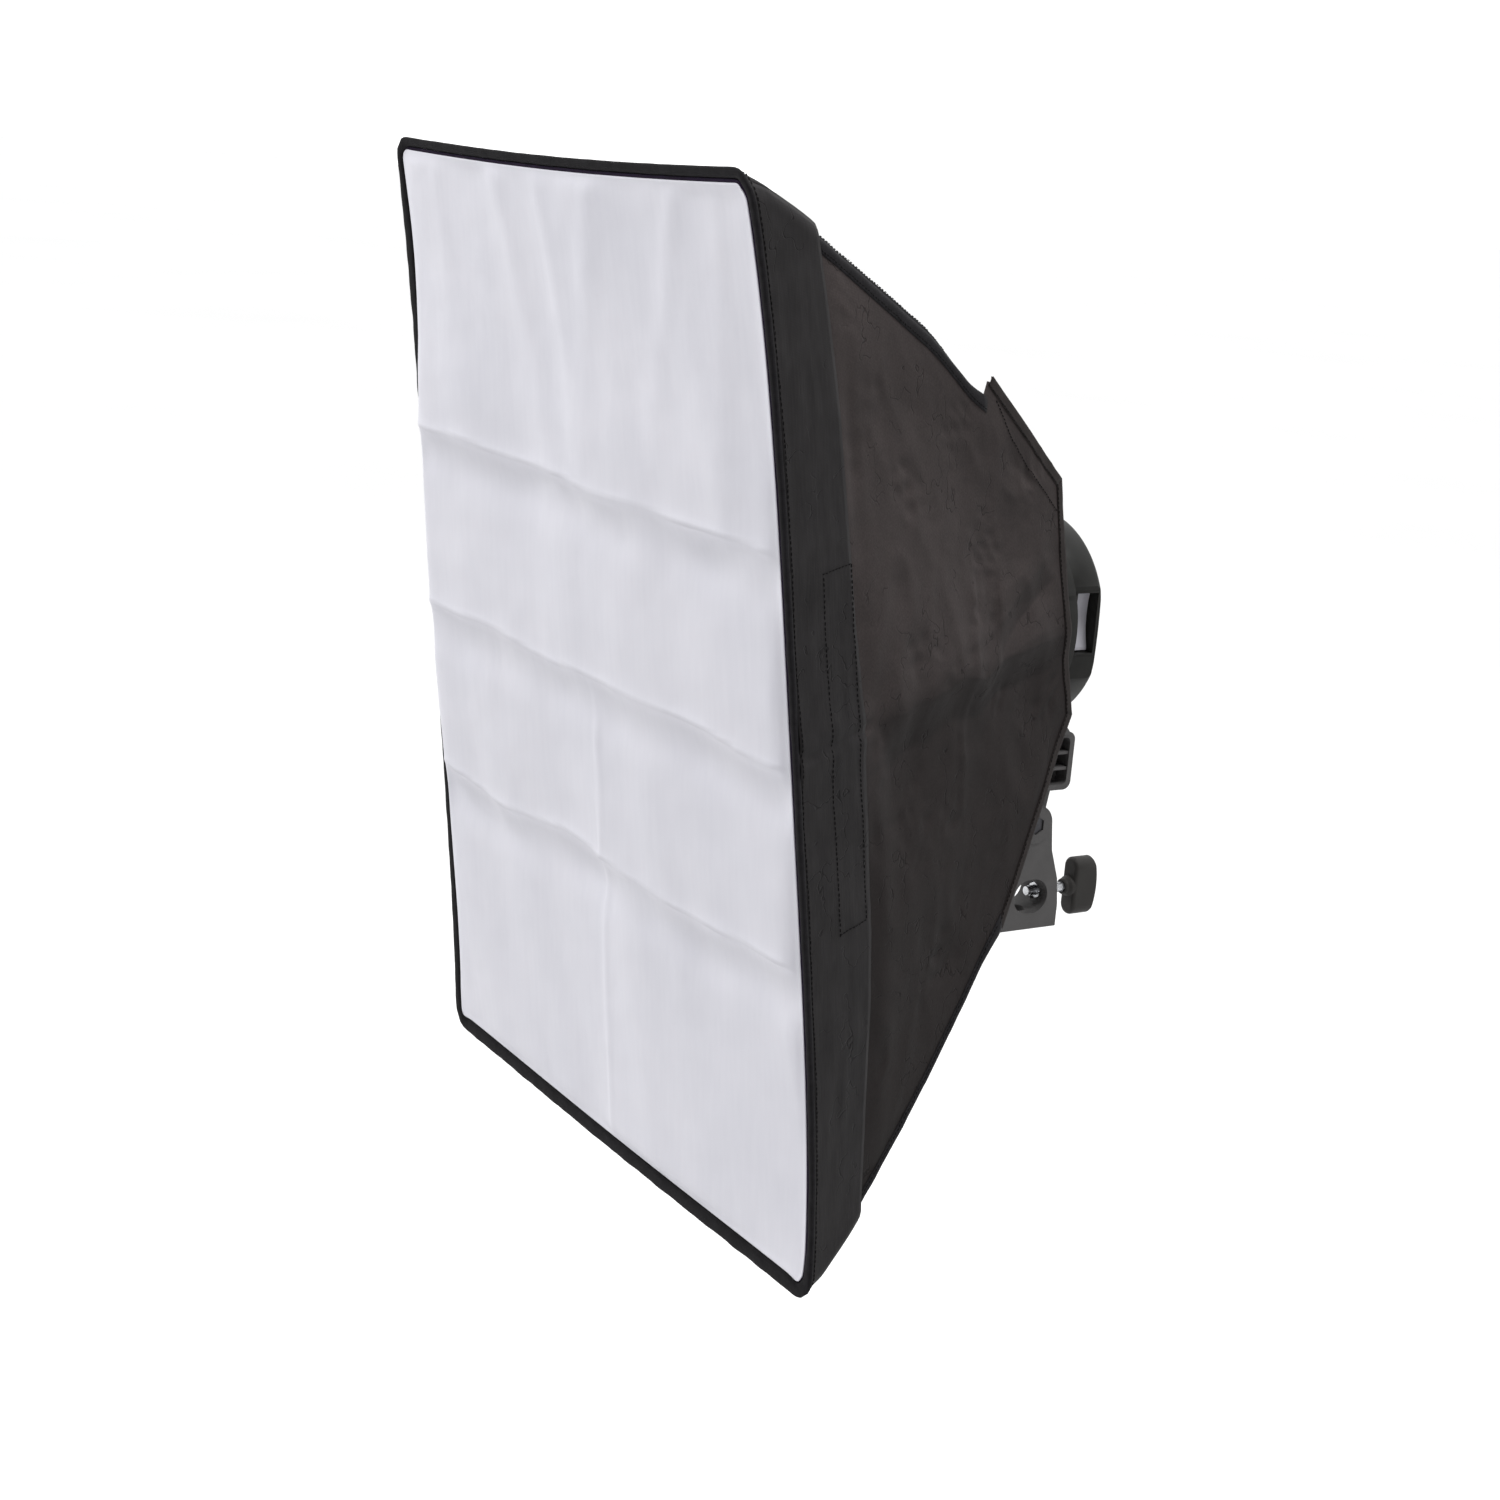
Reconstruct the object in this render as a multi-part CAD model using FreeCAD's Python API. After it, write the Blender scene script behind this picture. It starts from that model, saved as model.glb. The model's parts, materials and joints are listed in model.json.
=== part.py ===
import FreeCAD, Part
import math
import os
from FreeCAD import Vector, Placement, Rotation

# Softbox with a 50 x 70 cm front on a tilting lamp head and a light-stand bracket.
# Row frame, millimetres: +Z up, the lit front faces -Y, and the origin is the middle
# of the mouth of the stand socket. Dimensions that drive the model come first.

# Fabric box, in its own frame: origin at the middle of the front, +Y towards the head.
FRONT_W = 500.0                 # front, side to side
FRONT_H = 700.0                 # front, top to bottom
APEX_DEPTH = 553.0              # where the four walls would meet
BAND_DEPTH = 70.0               # front band, from the front edge to its seam
RIB_END_DEPTH = 245.0           # the sewn ribs stop here and the rear flaps begin
VENT_DEPTH = 262.0              # rear edge of the top and bottom panels, open behind
FLAP_TOP = (112.0, 337.0)       # rear corners of a side flap: height, depth
FLAP_BOTTOM = (-71.0, 362.0)
CLOTH = 1.6                     # wall thickness, taken along the box axis
HEM = 6.0                       # front binding, across
HEM_DEPTH = 6.0                 # front binding, along the box axis
BOX_SAG_DEG = 7.5               # the box hangs front-down from the level head
FRONT_Y = -398.5                # middle of the front in the row frame
FRONT_Z = 217.0

# Diffuser and the hook-and-loop tape that holds it inside the bands.
DIFFUSER_T = 0.5
DIFFUSER_EDGE = 1.5             # gap between the diffuser and the binding
STRIP_W = 38.0                  # tape, across
STRIP_L = 246.0
STRIP_T = 1.2
STRIP_FRONT = 26.0              # front edge of the tape, from the front of the box
TAB_T = 0.8
TAPE_INSET = 0.95               # from a band's outer face to the tape on its inside
TAB_GAP = 0.4                   # between the loop tape and the diffuser's hook tab

# Lamp head, level in the row frame.
HEAD_Z = 253.0                  # height of the head's axis
HEAD_R = 80.0
HEAD_WALL = 2.6
BARREL_FRONT_Y = -78.0
BARREL_REAR_Y = -34.5           # split line between the barrel and the rear cover
COVER_REAR_Y = -8.5
COVER_CROWN = 8.0               # how far the rear face bulges
FLAT_X = 72.0                   # side flats on the rear cover
HUB_INNER_R = 67.0
HUB_OUTER_R = 82.0
HUB_DEPTH = 16.0
PLATE_T = 3.0
SOCKET_PITCH = 62.0             # square pattern of the four lampholders
SOCKET_R = 19.0
SOCKET_BORE_R = 13.6            # E27
SOCKET_L = 36.0
GLAND_R = 8.0
GLAND_BORE_R = 3.6
GLAND_DROP = 46.0               # cord gland below the head's axis

# Compact fluorescent lamps.
LAMP_CAP_R = 13.2
LAMP_CAP_L = 24.0
BALLAST_R = 22.0
BALLAST_L = 44.0
TUBE_R = 6.0
TUBE_L = 88.0
TUBE_RING_R = 13.5

# Rocker switches in the side flats.
POCKET_W = 22.0                 # along Y
POCKET_H = 48.0                 # along Z
POCKET_RISE = 7.0               # middle of the pocket above the head's axis
POCKET_DEPTH = 11.6
ROCKER_SWING_DEG = 8.0

# Rods.
ROD_R = 2.0
ROD_HUB_R = 74.0                # where a rod crosses the middle of the hub ring
ROD_SEAT = 4.0                  # length of rod behind that point
ROD_LEAVE_DEG = 62.0            # angle from the axis where it leaves the hub
ROD_BEND_R = 350.0
ROD_INSET = 10.0                # rod inside the rib line, measured along the diagonal
TIP_R = 3.6
TIP_L = 18.0

# Stand bracket and tilt pivot.
BRACKET_HALF_X = 16.5
BRACKET_HALF_Y = 30.5
PIVOT_Z = 86.0
CHEEK_R = 16.2
BOSS_R = 14.7                   # raised round the pivot on each cheek
EYE_R = 15.0                    # of the arm's tongue
TONGUE_HALF_X = 6.0
TONGUE_GAP = 0.25
STAND_R = 8.3                   # socket for a 16 mm stand spigot
SOCKET_DEPTH = 54.0
WINDOW_R = 14.0
WINDOW_STRETCH = 5.0            # the window is an oblong, longer towards the thumb screw
WINDOW_Z = 27.0
SCREW_Z = 26.0
M8_R = 4.0
M8_CLEAR = 0.05
M8_AF = 13.0
M8_NUT_T = 6.5
M8_PITCH = 1.25

# Tilt arm between the pivot and the head.
ARM_HALF_X = 15.0
ARM_BLOCK_Z = (113.0, 160.0)
ARM_BLOCK_Y = (-33.0, 31.0)

# Clamp knob.
PAD_Y = 10.5                    # front of the swivelling tip at rest, clear of the spigot
PAD_T = 3.0
PAD_R = 3.6                     # slips back through the nut
PAD_GAP = 0.1
SCREW_END_Y = 66.0
KNOB_HUB_Y = 46.5
KNOB_SPAN = 48.0
KNOB_WIDTH = 17.0
KNOB_DEPTH = 22.5
KNOB_CROWN = 4.0                # how far the outer face of the wing bulges

SIDES = ("left", "right")
X_AXIS = Vector(1, 0, 0)
Y_AXIS = Vector(0, 1, 0)
Z_AXIS = Vector(0, 0, 1)
BOX_PLACE = Placement(Vector(0, FRONT_Y, FRONT_Z), Rotation(X_AXIS, BOX_SAG_DEG))
parts = {}


# ---------------------------------------------------------------- helpers
def block(low, high):
    low, high = Vector(*low), Vector(*high)
    size = high - low
    return Part.makeBox(size.x, size.y, size.z, low)


def rod(radius, start, end):
    start, end = Vector(*start), Vector(*end)
    return Part.makeCylinder(radius, (end - start).Length, start, end - start)


def ring(outer, inner, start, end):
    return rod(outer, start, end).cut(rod(inner, start, end))


def prism(points, direction):
    corners = [Vector(*p) for p in points]
    return Part.Face(Part.makePolygon(corners + corners[:1])).extrude(Vector(*direction))


def hexagon(flats, start, direction):
    """Hexagonal prism with its axis through start."""
    start, direction = Vector(*start), Vector(*direction)
    side = Z_AXIS if abs(direction.z) < 0.5 * direction.Length else X_AXIS
    turn = Rotation(direction, 60.0)
    arm = side * (flats / math.sqrt(3.0))
    corners = []
    for _ in range(6):
        corners.append(start + arm)
        arm = turn.multVec(arm)
    return Part.Face(Part.makePolygon(corners + corners[:1])).extrude(direction)


def rounded_block(low, high, radius, axis):
    """Box whose four edges parallel to axis are rounded."""
    solid = block(low, high)
    edges = [e for e in solid.Edges if abs(e.tangentAt(e.FirstParameter).dot(axis)) > 0.99]
    return solid.makeFillet(radius, edges)


def turned(points, centre):
    """Solid of revolution about the line through centre along Y, from (radius, y) points."""
    corners = [centre + Vector(r, y, 0) for r, y in points]
    face = Part.Face(Part.makePolygon(corners + corners[:1]))
    return face.revolve(centre, Y_AXIS, 360)


def in_box(shape):
    """Move a shape from the fabric box's frame to the row frame."""
    moved = shape.copy()
    moved.Placement = BOX_PLACE.multiply(moved.Placement)
    return moved


def mirrored(shape):
    return shape.mirror(Vector(0, 0, 0), X_AXIS)


def taper(depth):
    return 1.0 - depth / APEX_DEPTH


# ---------------------------------------------------------------- fabric box
def wall_point(side, across, depth):
    """Point on an outer wall: across runs -1..1 along the wall between its two ribs."""
    half_w = FRONT_W / 2 * taper(depth)
    half_h = FRONT_H / 2 * taper(depth)
    spots = {"right": (half_w, across * half_h),
             "left": (-half_w, across * half_h),
             "top": (across * half_w, half_h),
             "bottom": (across * half_w, -half_h)}
    x, z = spots[side]
    return (x, depth, z)


def side_point(side, z, depth):
    """Point of a left or right wall at height z above the box axis."""
    return wall_point(side, z / (FRONT_H / 2 * taper(depth)), depth)


def make_fabric():
    through = (0, -CLOTH, 0)
    for side in ("top", "bottom", "left", "right"):
        band = [wall_point(side, -1, 0), wall_point(side, 1, 0),
                wall_point(side, 1, BAND_DEPTH), wall_point(side, -1, BAND_DEPTH)]
        parts["band_" + side] = in_box(prism(band, through))
        ribs = [wall_point(side, 1, BAND_DEPTH), wall_point(side, 1, RIB_END_DEPTH)]
        back = [wall_point(side, -1, RIB_END_DEPTH), wall_point(side, -1, BAND_DEPTH)]
        if side in SIDES:
            # The rear edge of a side flap stands upright, in line with the level head.
            rear = [side_point(side, *FLAP_TOP), side_point(side, *FLAP_BOTTOM)]
        else:
            rear = [wall_point(side, 0.86, VENT_DEPTH), wall_point(side, -0.86, VENT_DEPTH)]
        parts["panel_" + side] = in_box(prism(ribs + rear + back, through))


def make_hem():
    """Binding along the four front edges, as four bars mitred at the corners."""
    front = -CLOTH
    outer_w, outer_h = FRONT_W / 2, FRONT_H / 2
    inner_w, inner_h = outer_w - HEM, outer_h - HEM
    for side in ("top", "bottom", "left", "right"):
        across = (outer_w, inner_w) if side in SIDES else (outer_h, inner_h)
        along = (outer_h, inner_h) if side in SIDES else (outer_w, inner_w)
        sign = -1 if side in ("left", "bottom") else 1
        flat = [(sign * across[0], -along[0]), (sign * across[0], along[0]),
                (sign * across[1], along[1]), (sign * across[1], -along[1])]
        if side in SIDES:
            corners = [(a, front, b) for a, b in flat]
        else:
            corners = [(b, front, a) for a, b in flat]
        parts["hem_" + side] = in_box(prism(corners, (0, -HEM_DEPTH, 0)))


def tape(side, inset, thickness, front, rear, length):
    """Flat strip that lies along the inside of a band, inset from its outer face."""
    half = length / 2
    corners = []
    for depth, end in ((front, -1), (front, 1), (rear, 1), (rear, -1)):
        corners.append(Vector(*wall_point(side, 0, depth)) +
                       (Vector(0, 0, end * half) if side in SIDES else Vector(end * half, 0, 0)))
    face = Part.Face(Part.makePolygon(corners + corners[:1]))
    normal = face.normalAt(0, 0)
    middle = face.CenterOfMass
    if normal.dot(Vector(middle.x, 0, middle.z)) > 0:
        normal = normal * -1
    face.translate(normal * inset)
    return face.extrude(normal * thickness)


def make_diffuser():
    half_w = FRONT_W / 2 - HEM - DIFFUSER_EDGE
    half_h = FRONT_H / 2 - HEM - DIFFUSER_EDGE
    face_y = -CLOTH - HEM_DEPTH / 2
    sheet = block((-half_w, face_y, -half_h), (half_w, face_y + DIFFUSER_T, half_h))
    parts["diffuser"] = in_box(sheet)
    tabs = []
    for side in ("top", "bottom", "left", "right"):
        strip = tape(side, TAPE_INSET, STRIP_T, STRIP_FRONT, STRIP_FRONT + STRIP_W, STRIP_L)
        parts["loop_strip_" + side] = in_box(strip)
        tab = tape(side, TAPE_INSET + STRIP_T + TAB_GAP, TAB_T, STRIP_FRONT, STRIP_FRONT + STRIP_W,
                   STRIP_L - 6)
        tabs.append(in_box(tab))
    parts["hook_tabs"] = Part.makeCompound(tabs)


# ---------------------------------------------------------------- rods
def hub_spot(unit):
    """Where a rod crosses the middle of the hub ring, in the fabric box's frame."""
    spot = Vector(unit.x * ROD_HUB_R, BARREL_FRONT_Y - HUB_DEPTH / 2, HEAD_Z + unit.z * ROD_HUB_R)
    return BOX_PLACE.inverse().multVec(spot)


def rod_line(sign_x, sign_z):
    """Start, bend points, end and arc middle of one rod, in the fabric box's frame."""
    diagonal = math.hypot(FRONT_W, FRONT_H) / 2
    unit = Vector(sign_x * FRONT_W / 2 / diagonal, 0, sign_z * FRONT_H / 2 / diagonal)
    hub = hub_spot(unit)
    corner_depth = 9.0
    reach = diagonal * taper(corner_depth) - ROD_INSET
    end = unit * reach + Vector(0, corner_depth, 0)
    across = end - hub
    across.y = 0
    outward = Vector(across).normalize()
    leave = outward * math.sin(math.radians(ROD_LEAVE_DEG))
    leave.y = -math.cos(math.radians(ROD_LEAVE_DEG))
    slope = math.atan2(diagonal, APEX_DEPTH)
    arrive = outward * math.sin(slope) + Vector(0, -math.cos(slope), 0)
    # Corner where the two straight stretches would meet, in the plane of outward and Y.
    det = leave.dot(outward) * -arrive.y + arrive.dot(outward) * leave.y
    gap_out, gap_y = (end - hub).dot(outward), (end - hub).y
    run = (gap_out * -arrive.y + arrive.dot(outward) * gap_y) / det
    corner = hub + leave * run
    half_turn = leave.getAngle(arrive) / 2
    tangent = ROD_BEND_R * math.tan(half_turn)
    first, last = corner - leave * tangent, corner + arrive * tangent
    inward = (arrive - leave).normalize()
    centre = corner + inward * (ROD_BEND_R / math.cos(half_turn))
    middle = centre - inward * ROD_BEND_R
    return hub - leave * ROD_SEAT, first, middle, last, end, leave


def make_rods():
    for name, sign_x, sign_z in (("top_left", -1, 1), ("top_right", 1, 1),
                                 ("bottom_left", -1, -1), ("bottom_right", 1, -1)):
        start, first, middle, last, end, leave = rod_line(sign_x, sign_z)
        path = Part.Wire([Part.LineSegment(start, first).toShape(),
                          Part.Arc(first, middle, last).toShape(),
                          Part.LineSegment(last, end).toShape()])
        section = Part.Wire(Part.makeCircle(ROD_R, start, leave))
        parts["rod_" + name] = in_box(path.makePipeShell([section], True, False))
        along = (end - last).normalize()
        tip = Part.makeCylinder(TIP_R, TIP_L, end - along * (TIP_L - 2.0), along)
        tip = tip.cut(Part.makeCylinder(ROD_R, TIP_L - 2.0, end - along * (TIP_L - 2.0), along))
        parts["rod_tip_" + name] = in_box(tip)


# ---------------------------------------------------------------- lamp head
def make_hub():
    """Speed ring: carries the four rods in sleeves that point at the box corners."""
    front_y = BARREL_FRONT_Y - HUB_DEPTH
    hub = ring(HUB_OUTER_R, HUB_INNER_R, (0, front_y, HEAD_Z), (0, BARREL_FRONT_Y, HEAD_Z))
    for sign_x in (-1, 1):
        for sign_z in (-1, 1):
            start, _, _, _, _, leave = rod_line(sign_x, sign_z)
            sleeve = Part.makeCylinder(6.0, 26.0, start - leave * 1.0, leave)
            hub = hub.fuse(in_box(sleeve))
    hub = hub.cut(block((-99, BARREL_FRONT_Y, HEAD_Z - 99), (99, 0, HEAD_Z + 99)))
    hub = hub.cut(rod(HUB_INNER_R, (0, front_y - 30, HEAD_Z), (0, BARREL_FRONT_Y, HEAD_Z)))
    for sign_x in (-1, 1):
        for sign_z in (-1, 1):
            start, _, _, _, _, leave = rod_line(sign_x, sign_z)
            hub = hub.cut(in_box(Part.makeCylinder(ROD_R, 40.0, start, leave)))
    parts["rod_hub"] = hub.removeSplitter()


def make_housing():
    centre = Vector(0, 0, HEAD_Z)
    barrel = ring(HEAD_R, HEAD_R - HEAD_WALL, (0, BARREL_FRONT_Y, HEAD_Z), (0, BARREL_REAR_Y, HEAD_Z))
    for index in range(8):
        # Cooling slots around the upper half of the barrel.
        turn = Rotation(Y_AXIS, -70.0 + 20.0 * index)
        slot = block((-1.6, BARREL_FRONT_Y + 11, 60.0), (1.6, BARREL_REAR_Y - 9, 90.0))
        slot.Placement = Placement(centre, turn)
        barrel = barrel.cut(slot)
    parts["front_housing"] = barrel

    outer = turned([(0, BARREL_REAR_Y), (HEAD_R, BARREL_REAR_Y), (HEAD_R, COVER_REAR_Y - 4),
                    (HEAD_R - 1.2, COVER_REAR_Y - 1.2), (HEAD_R - 4, COVER_REAR_Y),
                    (46, COVER_REAR_Y + 0.62 * COVER_CROWN), (24, COVER_REAR_Y + 0.9 * COVER_CROWN),
                    (0, COVER_REAR_Y + COVER_CROWN)], centre)
    inner = turned([(0, BARREL_REAR_Y), (HEAD_R - HEAD_WALL, BARREL_REAR_Y),
                    (HEAD_R - HEAD_WALL, COVER_REAR_Y - 4), (HEAD_R - 5, COVER_REAR_Y - HEAD_WALL),
                    (46, COVER_REAR_Y + 0.62 * COVER_CROWN - HEAD_WALL),
                    (0, COVER_REAR_Y + COVER_CROWN - HEAD_WALL)], centre)
    keep = block((-FLAT_X, -90, HEAD_Z - 90), (FLAT_X, 90, HEAD_Z + 90))
    keep_inner = block((-FLAT_X + HEAD_WALL, -90, HEAD_Z - 90), (FLAT_X - HEAD_WALL, 90, HEAD_Z + 90))
    cover = outer.common(keep).cut(inner.common(keep_inner))
    pocket_y = (BARREL_REAR_Y + COVER_REAR_Y) / 2
    pocket_z = HEAD_Z + POCKET_RISE
    for sign in (-1, 1):
        hole = block((min(sign * 50, sign * 80), pocket_y - POCKET_W / 2, pocket_z - POCKET_H / 2),
                     (max(sign * 50, sign * 80), pocket_y + POCKET_W / 2, pocket_z + POCKET_H / 2))
        cover = cover.cut(hole)
    cover = cover.cut(rod(GLAND_R, (0, COVER_REAR_Y - 9, HEAD_Z - GLAND_DROP),
                          (0, COVER_REAR_Y + 21, HEAD_Z - GLAND_DROP)))
    screws = []
    for angle in (45, 135, 225, 315):
        x = 66.0 * math.cos(math.radians(angle))
        z = HEAD_Z + 66.0 * math.sin(math.radians(angle))
        post = rod(4.2, (x, BARREL_REAR_Y, z), (x, COVER_REAR_Y + 6, z)).common(outer.common(keep))
        cover = cover.fuse(post)
        cover = cover.cut(rod(3.4, (x, COVER_REAR_Y - 3, z), (x, COVER_REAR_Y + 12, z)))
        cover = cover.cut(rod(1.6, (x, BARREL_REAR_Y, z), (x, COVER_REAR_Y, z)))
        screw = rod(3.2, (x, COVER_REAR_Y - 3, z), (x, COVER_REAR_Y - 0.6, z))
        screw = screw.fuse(rod(1.5, (x, BARREL_REAR_Y + 1, z), (x, COVER_REAR_Y - 3, z)))
        cross = block((x - 2, COVER_REAR_Y - 1.8, z - 0.4), (x + 2, COVER_REAR_Y, z + 0.4))
        cross = cross.fuse(block((x - 0.4, COVER_REAR_Y - 1.8, z - 2), (x + 0.4, COVER_REAR_Y, z + 2)))
        screws.append(screw.cut(cross).removeSplitter())
    parts["rear_cover"] = cover.removeSplitter()
    parts["cover_screws"] = Part.makeCompound(screws)


def make_gland():
    z = HEAD_Z - GLAND_DROP
    gland = rod(GLAND_R, (0, COVER_REAR_Y - 10, z), (0, COVER_REAR_Y + 9, z))
    gland = gland.fuse(rod(10.5, (0, COVER_REAR_Y + 6, z), (0, COVER_REAR_Y + 9, z)))
    gland = gland.fuse(hexagon(18.0, (0, COVER_REAR_Y + 9, z), (0, 8, 0)))
    gland = gland.fuse(Part.makeCone(8.6, 6.0, 4.0, Vector(0, COVER_REAR_Y + 17, z), Y_AXIS))
    gland = gland.cut(rod(GLAND_BORE_R, (0, COVER_REAR_Y - 11, z), (0, COVER_REAR_Y + 60, z)))
    parts["cord_gland"] = gland.removeSplitter()


def socket_spots():
    half = SOCKET_PITCH / 2
    return [(-half, HEAD_Z + half), (half, HEAD_Z + half), (-half, HEAD_Z - half), (half, HEAD_Z - half)]


def make_sockets():
    plate = rod(HEAD_R - HEAD_WALL - 0.2, (0, BARREL_FRONT_Y, HEAD_Z), (0, BARREL_FRONT_Y + PLATE_T, HEAD_Z))
    for x, z in socket_spots():
        plate = plate.cut(rod(SOCKET_R, (x, BARREL_FRONT_Y - 1, z), (x, BARREL_FRONT_Y + PLATE_T + 1, z)))
    parts["socket_plate"] = plate
    rear_y = BARREL_FRONT_Y + PLATE_T + 8
    front_y = BARREL_FRONT_Y - SOCKET_L
    for index, (x, z) in enumerate(socket_spots(), 1):
        shell = rod(SOCKET_R, (x, rear_y, z), (x, front_y, z))
        shell = shell.fuse(rod(SOCKET_R + 2, (x, BARREL_FRONT_Y, z), (x, BARREL_FRONT_Y - 2, z)))
        shell = shell.cut(rod(SOCKET_BORE_R, (x, rear_y - 6, z), (x, front_y, z)))
        parts["lampholder_%d" % index] = shell.removeSplitter()
    base = block((-16, BARREL_FRONT_Y + 18, HEAD_Z - 9), (16, BARREL_FRONT_Y + 34, HEAD_Z + 9))
    for index in range(3):
        x = -10.0 + 10.0 * index
        base = base.cut(rod(2.2, (x, BARREL_FRONT_Y + 10, HEAD_Z), (x, BARREL_FRONT_Y + 28, HEAD_Z)))
    stem = block((-5, BARREL_FRONT_Y + PLATE_T, HEAD_Z - 5), (5, BARREL_FRONT_Y + 18, HEAD_Z + 5))
    parts["terminal_block"] = base.fuse(stem.cut(rod(2.2, (0, -99, HEAD_Z), (0, 0, HEAD_Z)))).removeSplitter()


def make_lamps():
    """Compact fluorescent lamps: screw cap, ballast and three U-shaped tubes."""
    cap_y = BARREL_FRONT_Y - SOCKET_L + LAMP_CAP_L
    ballast_y = BARREL_FRONT_Y - SOCKET_L - 1.0
    tube_y = ballast_y - BALLAST_L
    for index, (x, z) in enumerate(socket_spots(), 1):
        centre = Vector(x, 0, z)
        lamp = turned([(0, cap_y), (5, cap_y), (LAMP_CAP_R, cap_y - 6), (LAMP_CAP_R, ballast_y),
                       (16, ballast_y), (BALLAST_R, ballast_y - 14), (BALLAST_R, tube_y + 4),
                       (BALLAST_R - 3, tube_y), (0, tube_y)], centre)
        for leg in range(3):
            angle = math.radians(30 + 120 * leg)
            tangent = Vector(-math.sin(angle), 0, math.cos(angle))
            spot = Vector(x + TUBE_RING_R * math.cos(angle), tube_y + 1, z + TUBE_RING_R * math.sin(angle))
            half = TUBE_R + 0.9
            ends = [spot - tangent * half, spot + tangent * half]
            for end in ends:
                lamp = lamp.fuse(Part.makeCylinder(TUBE_R, TUBE_L, end, Vector(0, -1, 0)))
                lamp = lamp.fuse(Part.makeSphere(TUBE_R, end + Vector(0, -TUBE_L, 0)))
            bridge = Part.makeCylinder(TUBE_R * 0.8, 2 * half, ends[0] + Vector(0, -TUBE_L, 0), tangent)
            lamp = lamp.fuse(bridge)
        parts["lamp_%d" % index] = lamp


def make_switches():
    """A rocker with a dished face, sunk in a bezel in each side flat."""
    wall, gap = 1.2, 0.4
    centre = Vector(FLAT_X - POCKET_DEPTH, (BARREL_REAR_Y + COVER_REAR_Y) / 2, HEAD_Z + POCKET_RISE)
    half_w, half_h = POCKET_W / 2, POCKET_H / 2

    def around(x_low, x_high, shrink):
        return block((centre.x + x_low, centre.y - half_w + shrink, centre.z - half_h + shrink),
                     (centre.x + x_high, centre.y + half_w - shrink, centre.z + half_h - shrink))

    def across(radius, x, margin):
        start = (centre.x + x, centre.y - half_w + margin, centre.z)
        return rod(radius, start, (centre.x + x, centre.y + half_w - margin, centre.z))

    bezel = around(-9.5, POCKET_DEPTH + 0.6, 0).cut(around(-8.0, POCKET_DEPTH + 2, wall))
    bezel = bezel.fuse(across(1.5, 0, wall - 0.1))
    swing_r = half_h - wall - gap
    rocker = around(-2.5, 4.0, wall + gap).common(across(swing_r, 0, 0))
    dish_r = 90.0
    rocker = rocker.cut(across(dish_r, 1.8 + dish_r, 0))
    for sign in (-1, 1):
        # The ends are thinned behind, so the rocker can swing inside its bezel.
        near, far = centre.z + sign * 8.0, centre.z + sign * 30.0
        rocker = rocker.cut(block((centre.x - 3, centre.y - 20, min(near, far)),
                                  (centre.x - 0.6, centre.y + 20, max(near, far))))
    rocker = rocker.cut(across(1.55, 0, 0))
    rocker.rotate(centre, Y_AXIS, -ROCKER_SWING_DEG / 2)
    parts["switch_bezel_right"] = bezel.removeSplitter()
    parts["switch_rocker_right"] = rocker
    parts["switch_bezel_left"] = mirrored(bezel.removeSplitter())
    parts["switch_rocker_left"] = mirrored(rocker)


# ---------------------------------------------------------------- tilt arm
def make_arm():
    low_z, high_z = ARM_BLOCK_Z
    low_y, high_y = ARM_BLOCK_Y
    arm = rounded_block((-ARM_HALF_X, low_y, low_z), (ARM_HALF_X, high_y, high_z), 7.0, X_AXIS)
    neck_x = ARM_HALF_X + 1.0
    neck = prism([(-neck_x, -30, high_z - 2), (-neck_x, 26, high_z - 2),
                  (-neck_x, 2, HEAD_Z - 66), (-neck_x, -62, HEAD_Z - 66)], (2 * neck_x, 0, 0))
    neck = neck.cut(rod(HEAD_R, (0, -90, HEAD_Z), (0, 40, HEAD_Z)))
    arm = arm.fuse(neck)
    tongue = prism([(-TONGUE_HALF_X, -EYE_R, PIVOT_Z), (-TONGUE_HALF_X, EYE_R, PIVOT_Z),
                    (-TONGUE_HALF_X, 20, low_z + 3), (-TONGUE_HALF_X, -20, low_z + 3)],
                   (2 * TONGUE_HALF_X, 0, 0))
    eye = rod(EYE_R, (-TONGUE_HALF_X, 0, PIVOT_Z), (TONGUE_HALF_X, 0, PIVOT_Z))
    arm = arm.fuse(tongue).fuse(eye)
    wall, rib = 4.5, 2.4
    for sign in (-1, 1):
        # Side pockets, each crossed by two ribs.
        near, far = sign * 2.0, sign * (ARM_HALF_X + 4)
        pocket = rounded_block((min(near, far), low_y + wall, low_z + wall),
                               (max(near, far), high_y - wall, high_z - wall), 4.0, X_AXIS)
        face = sign * (ARM_HALF_X - 1.2)
        for level in (1, 2):
            z = low_z + wall + level * (high_z - low_z - 2 * wall) / 3
            pocket = pocket.cut(block((min(near, face), low_y, z - rib / 2),
                                      (max(near, face), high_y, z + rib / 2)))
        arm = arm.cut(pocket)
    arm = arm.cut(rod(M8_R + M8_CLEAR, (-30, 0, PIVOT_Z), (30, 0, PIVOT_Z)))
    screws = []
    floor_z = HEAD_Z - math.sqrt((HEAD_R - HEAD_WALL) ** 2 - 12.0 ** 2)
    for y in (-56.0, -42.0):
        for x in (-9.0, 9.0):
            # Driven down from inside the barrel into the saddle of the arm.
            shaft = rod(1.5, (x, y, floor_z + 1), (x, y, floor_z - 13))
            screws.append(shaft.fuse(rod(3.0, (x, y, floor_z + 0.2), (x, y, floor_z + 2.6))).removeSplitter())
            hole = rod(1.5, (x, y, floor_z + 1), (x, y, floor_z - 13))
            arm = arm.cut(hole)
            parts["front_housing"] = parts["front_housing"].cut(hole)
    parts["tilt_arm"] = arm.removeSplitter()
    parts["arm_screws"] = Part.makeCompound(screws)


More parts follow.
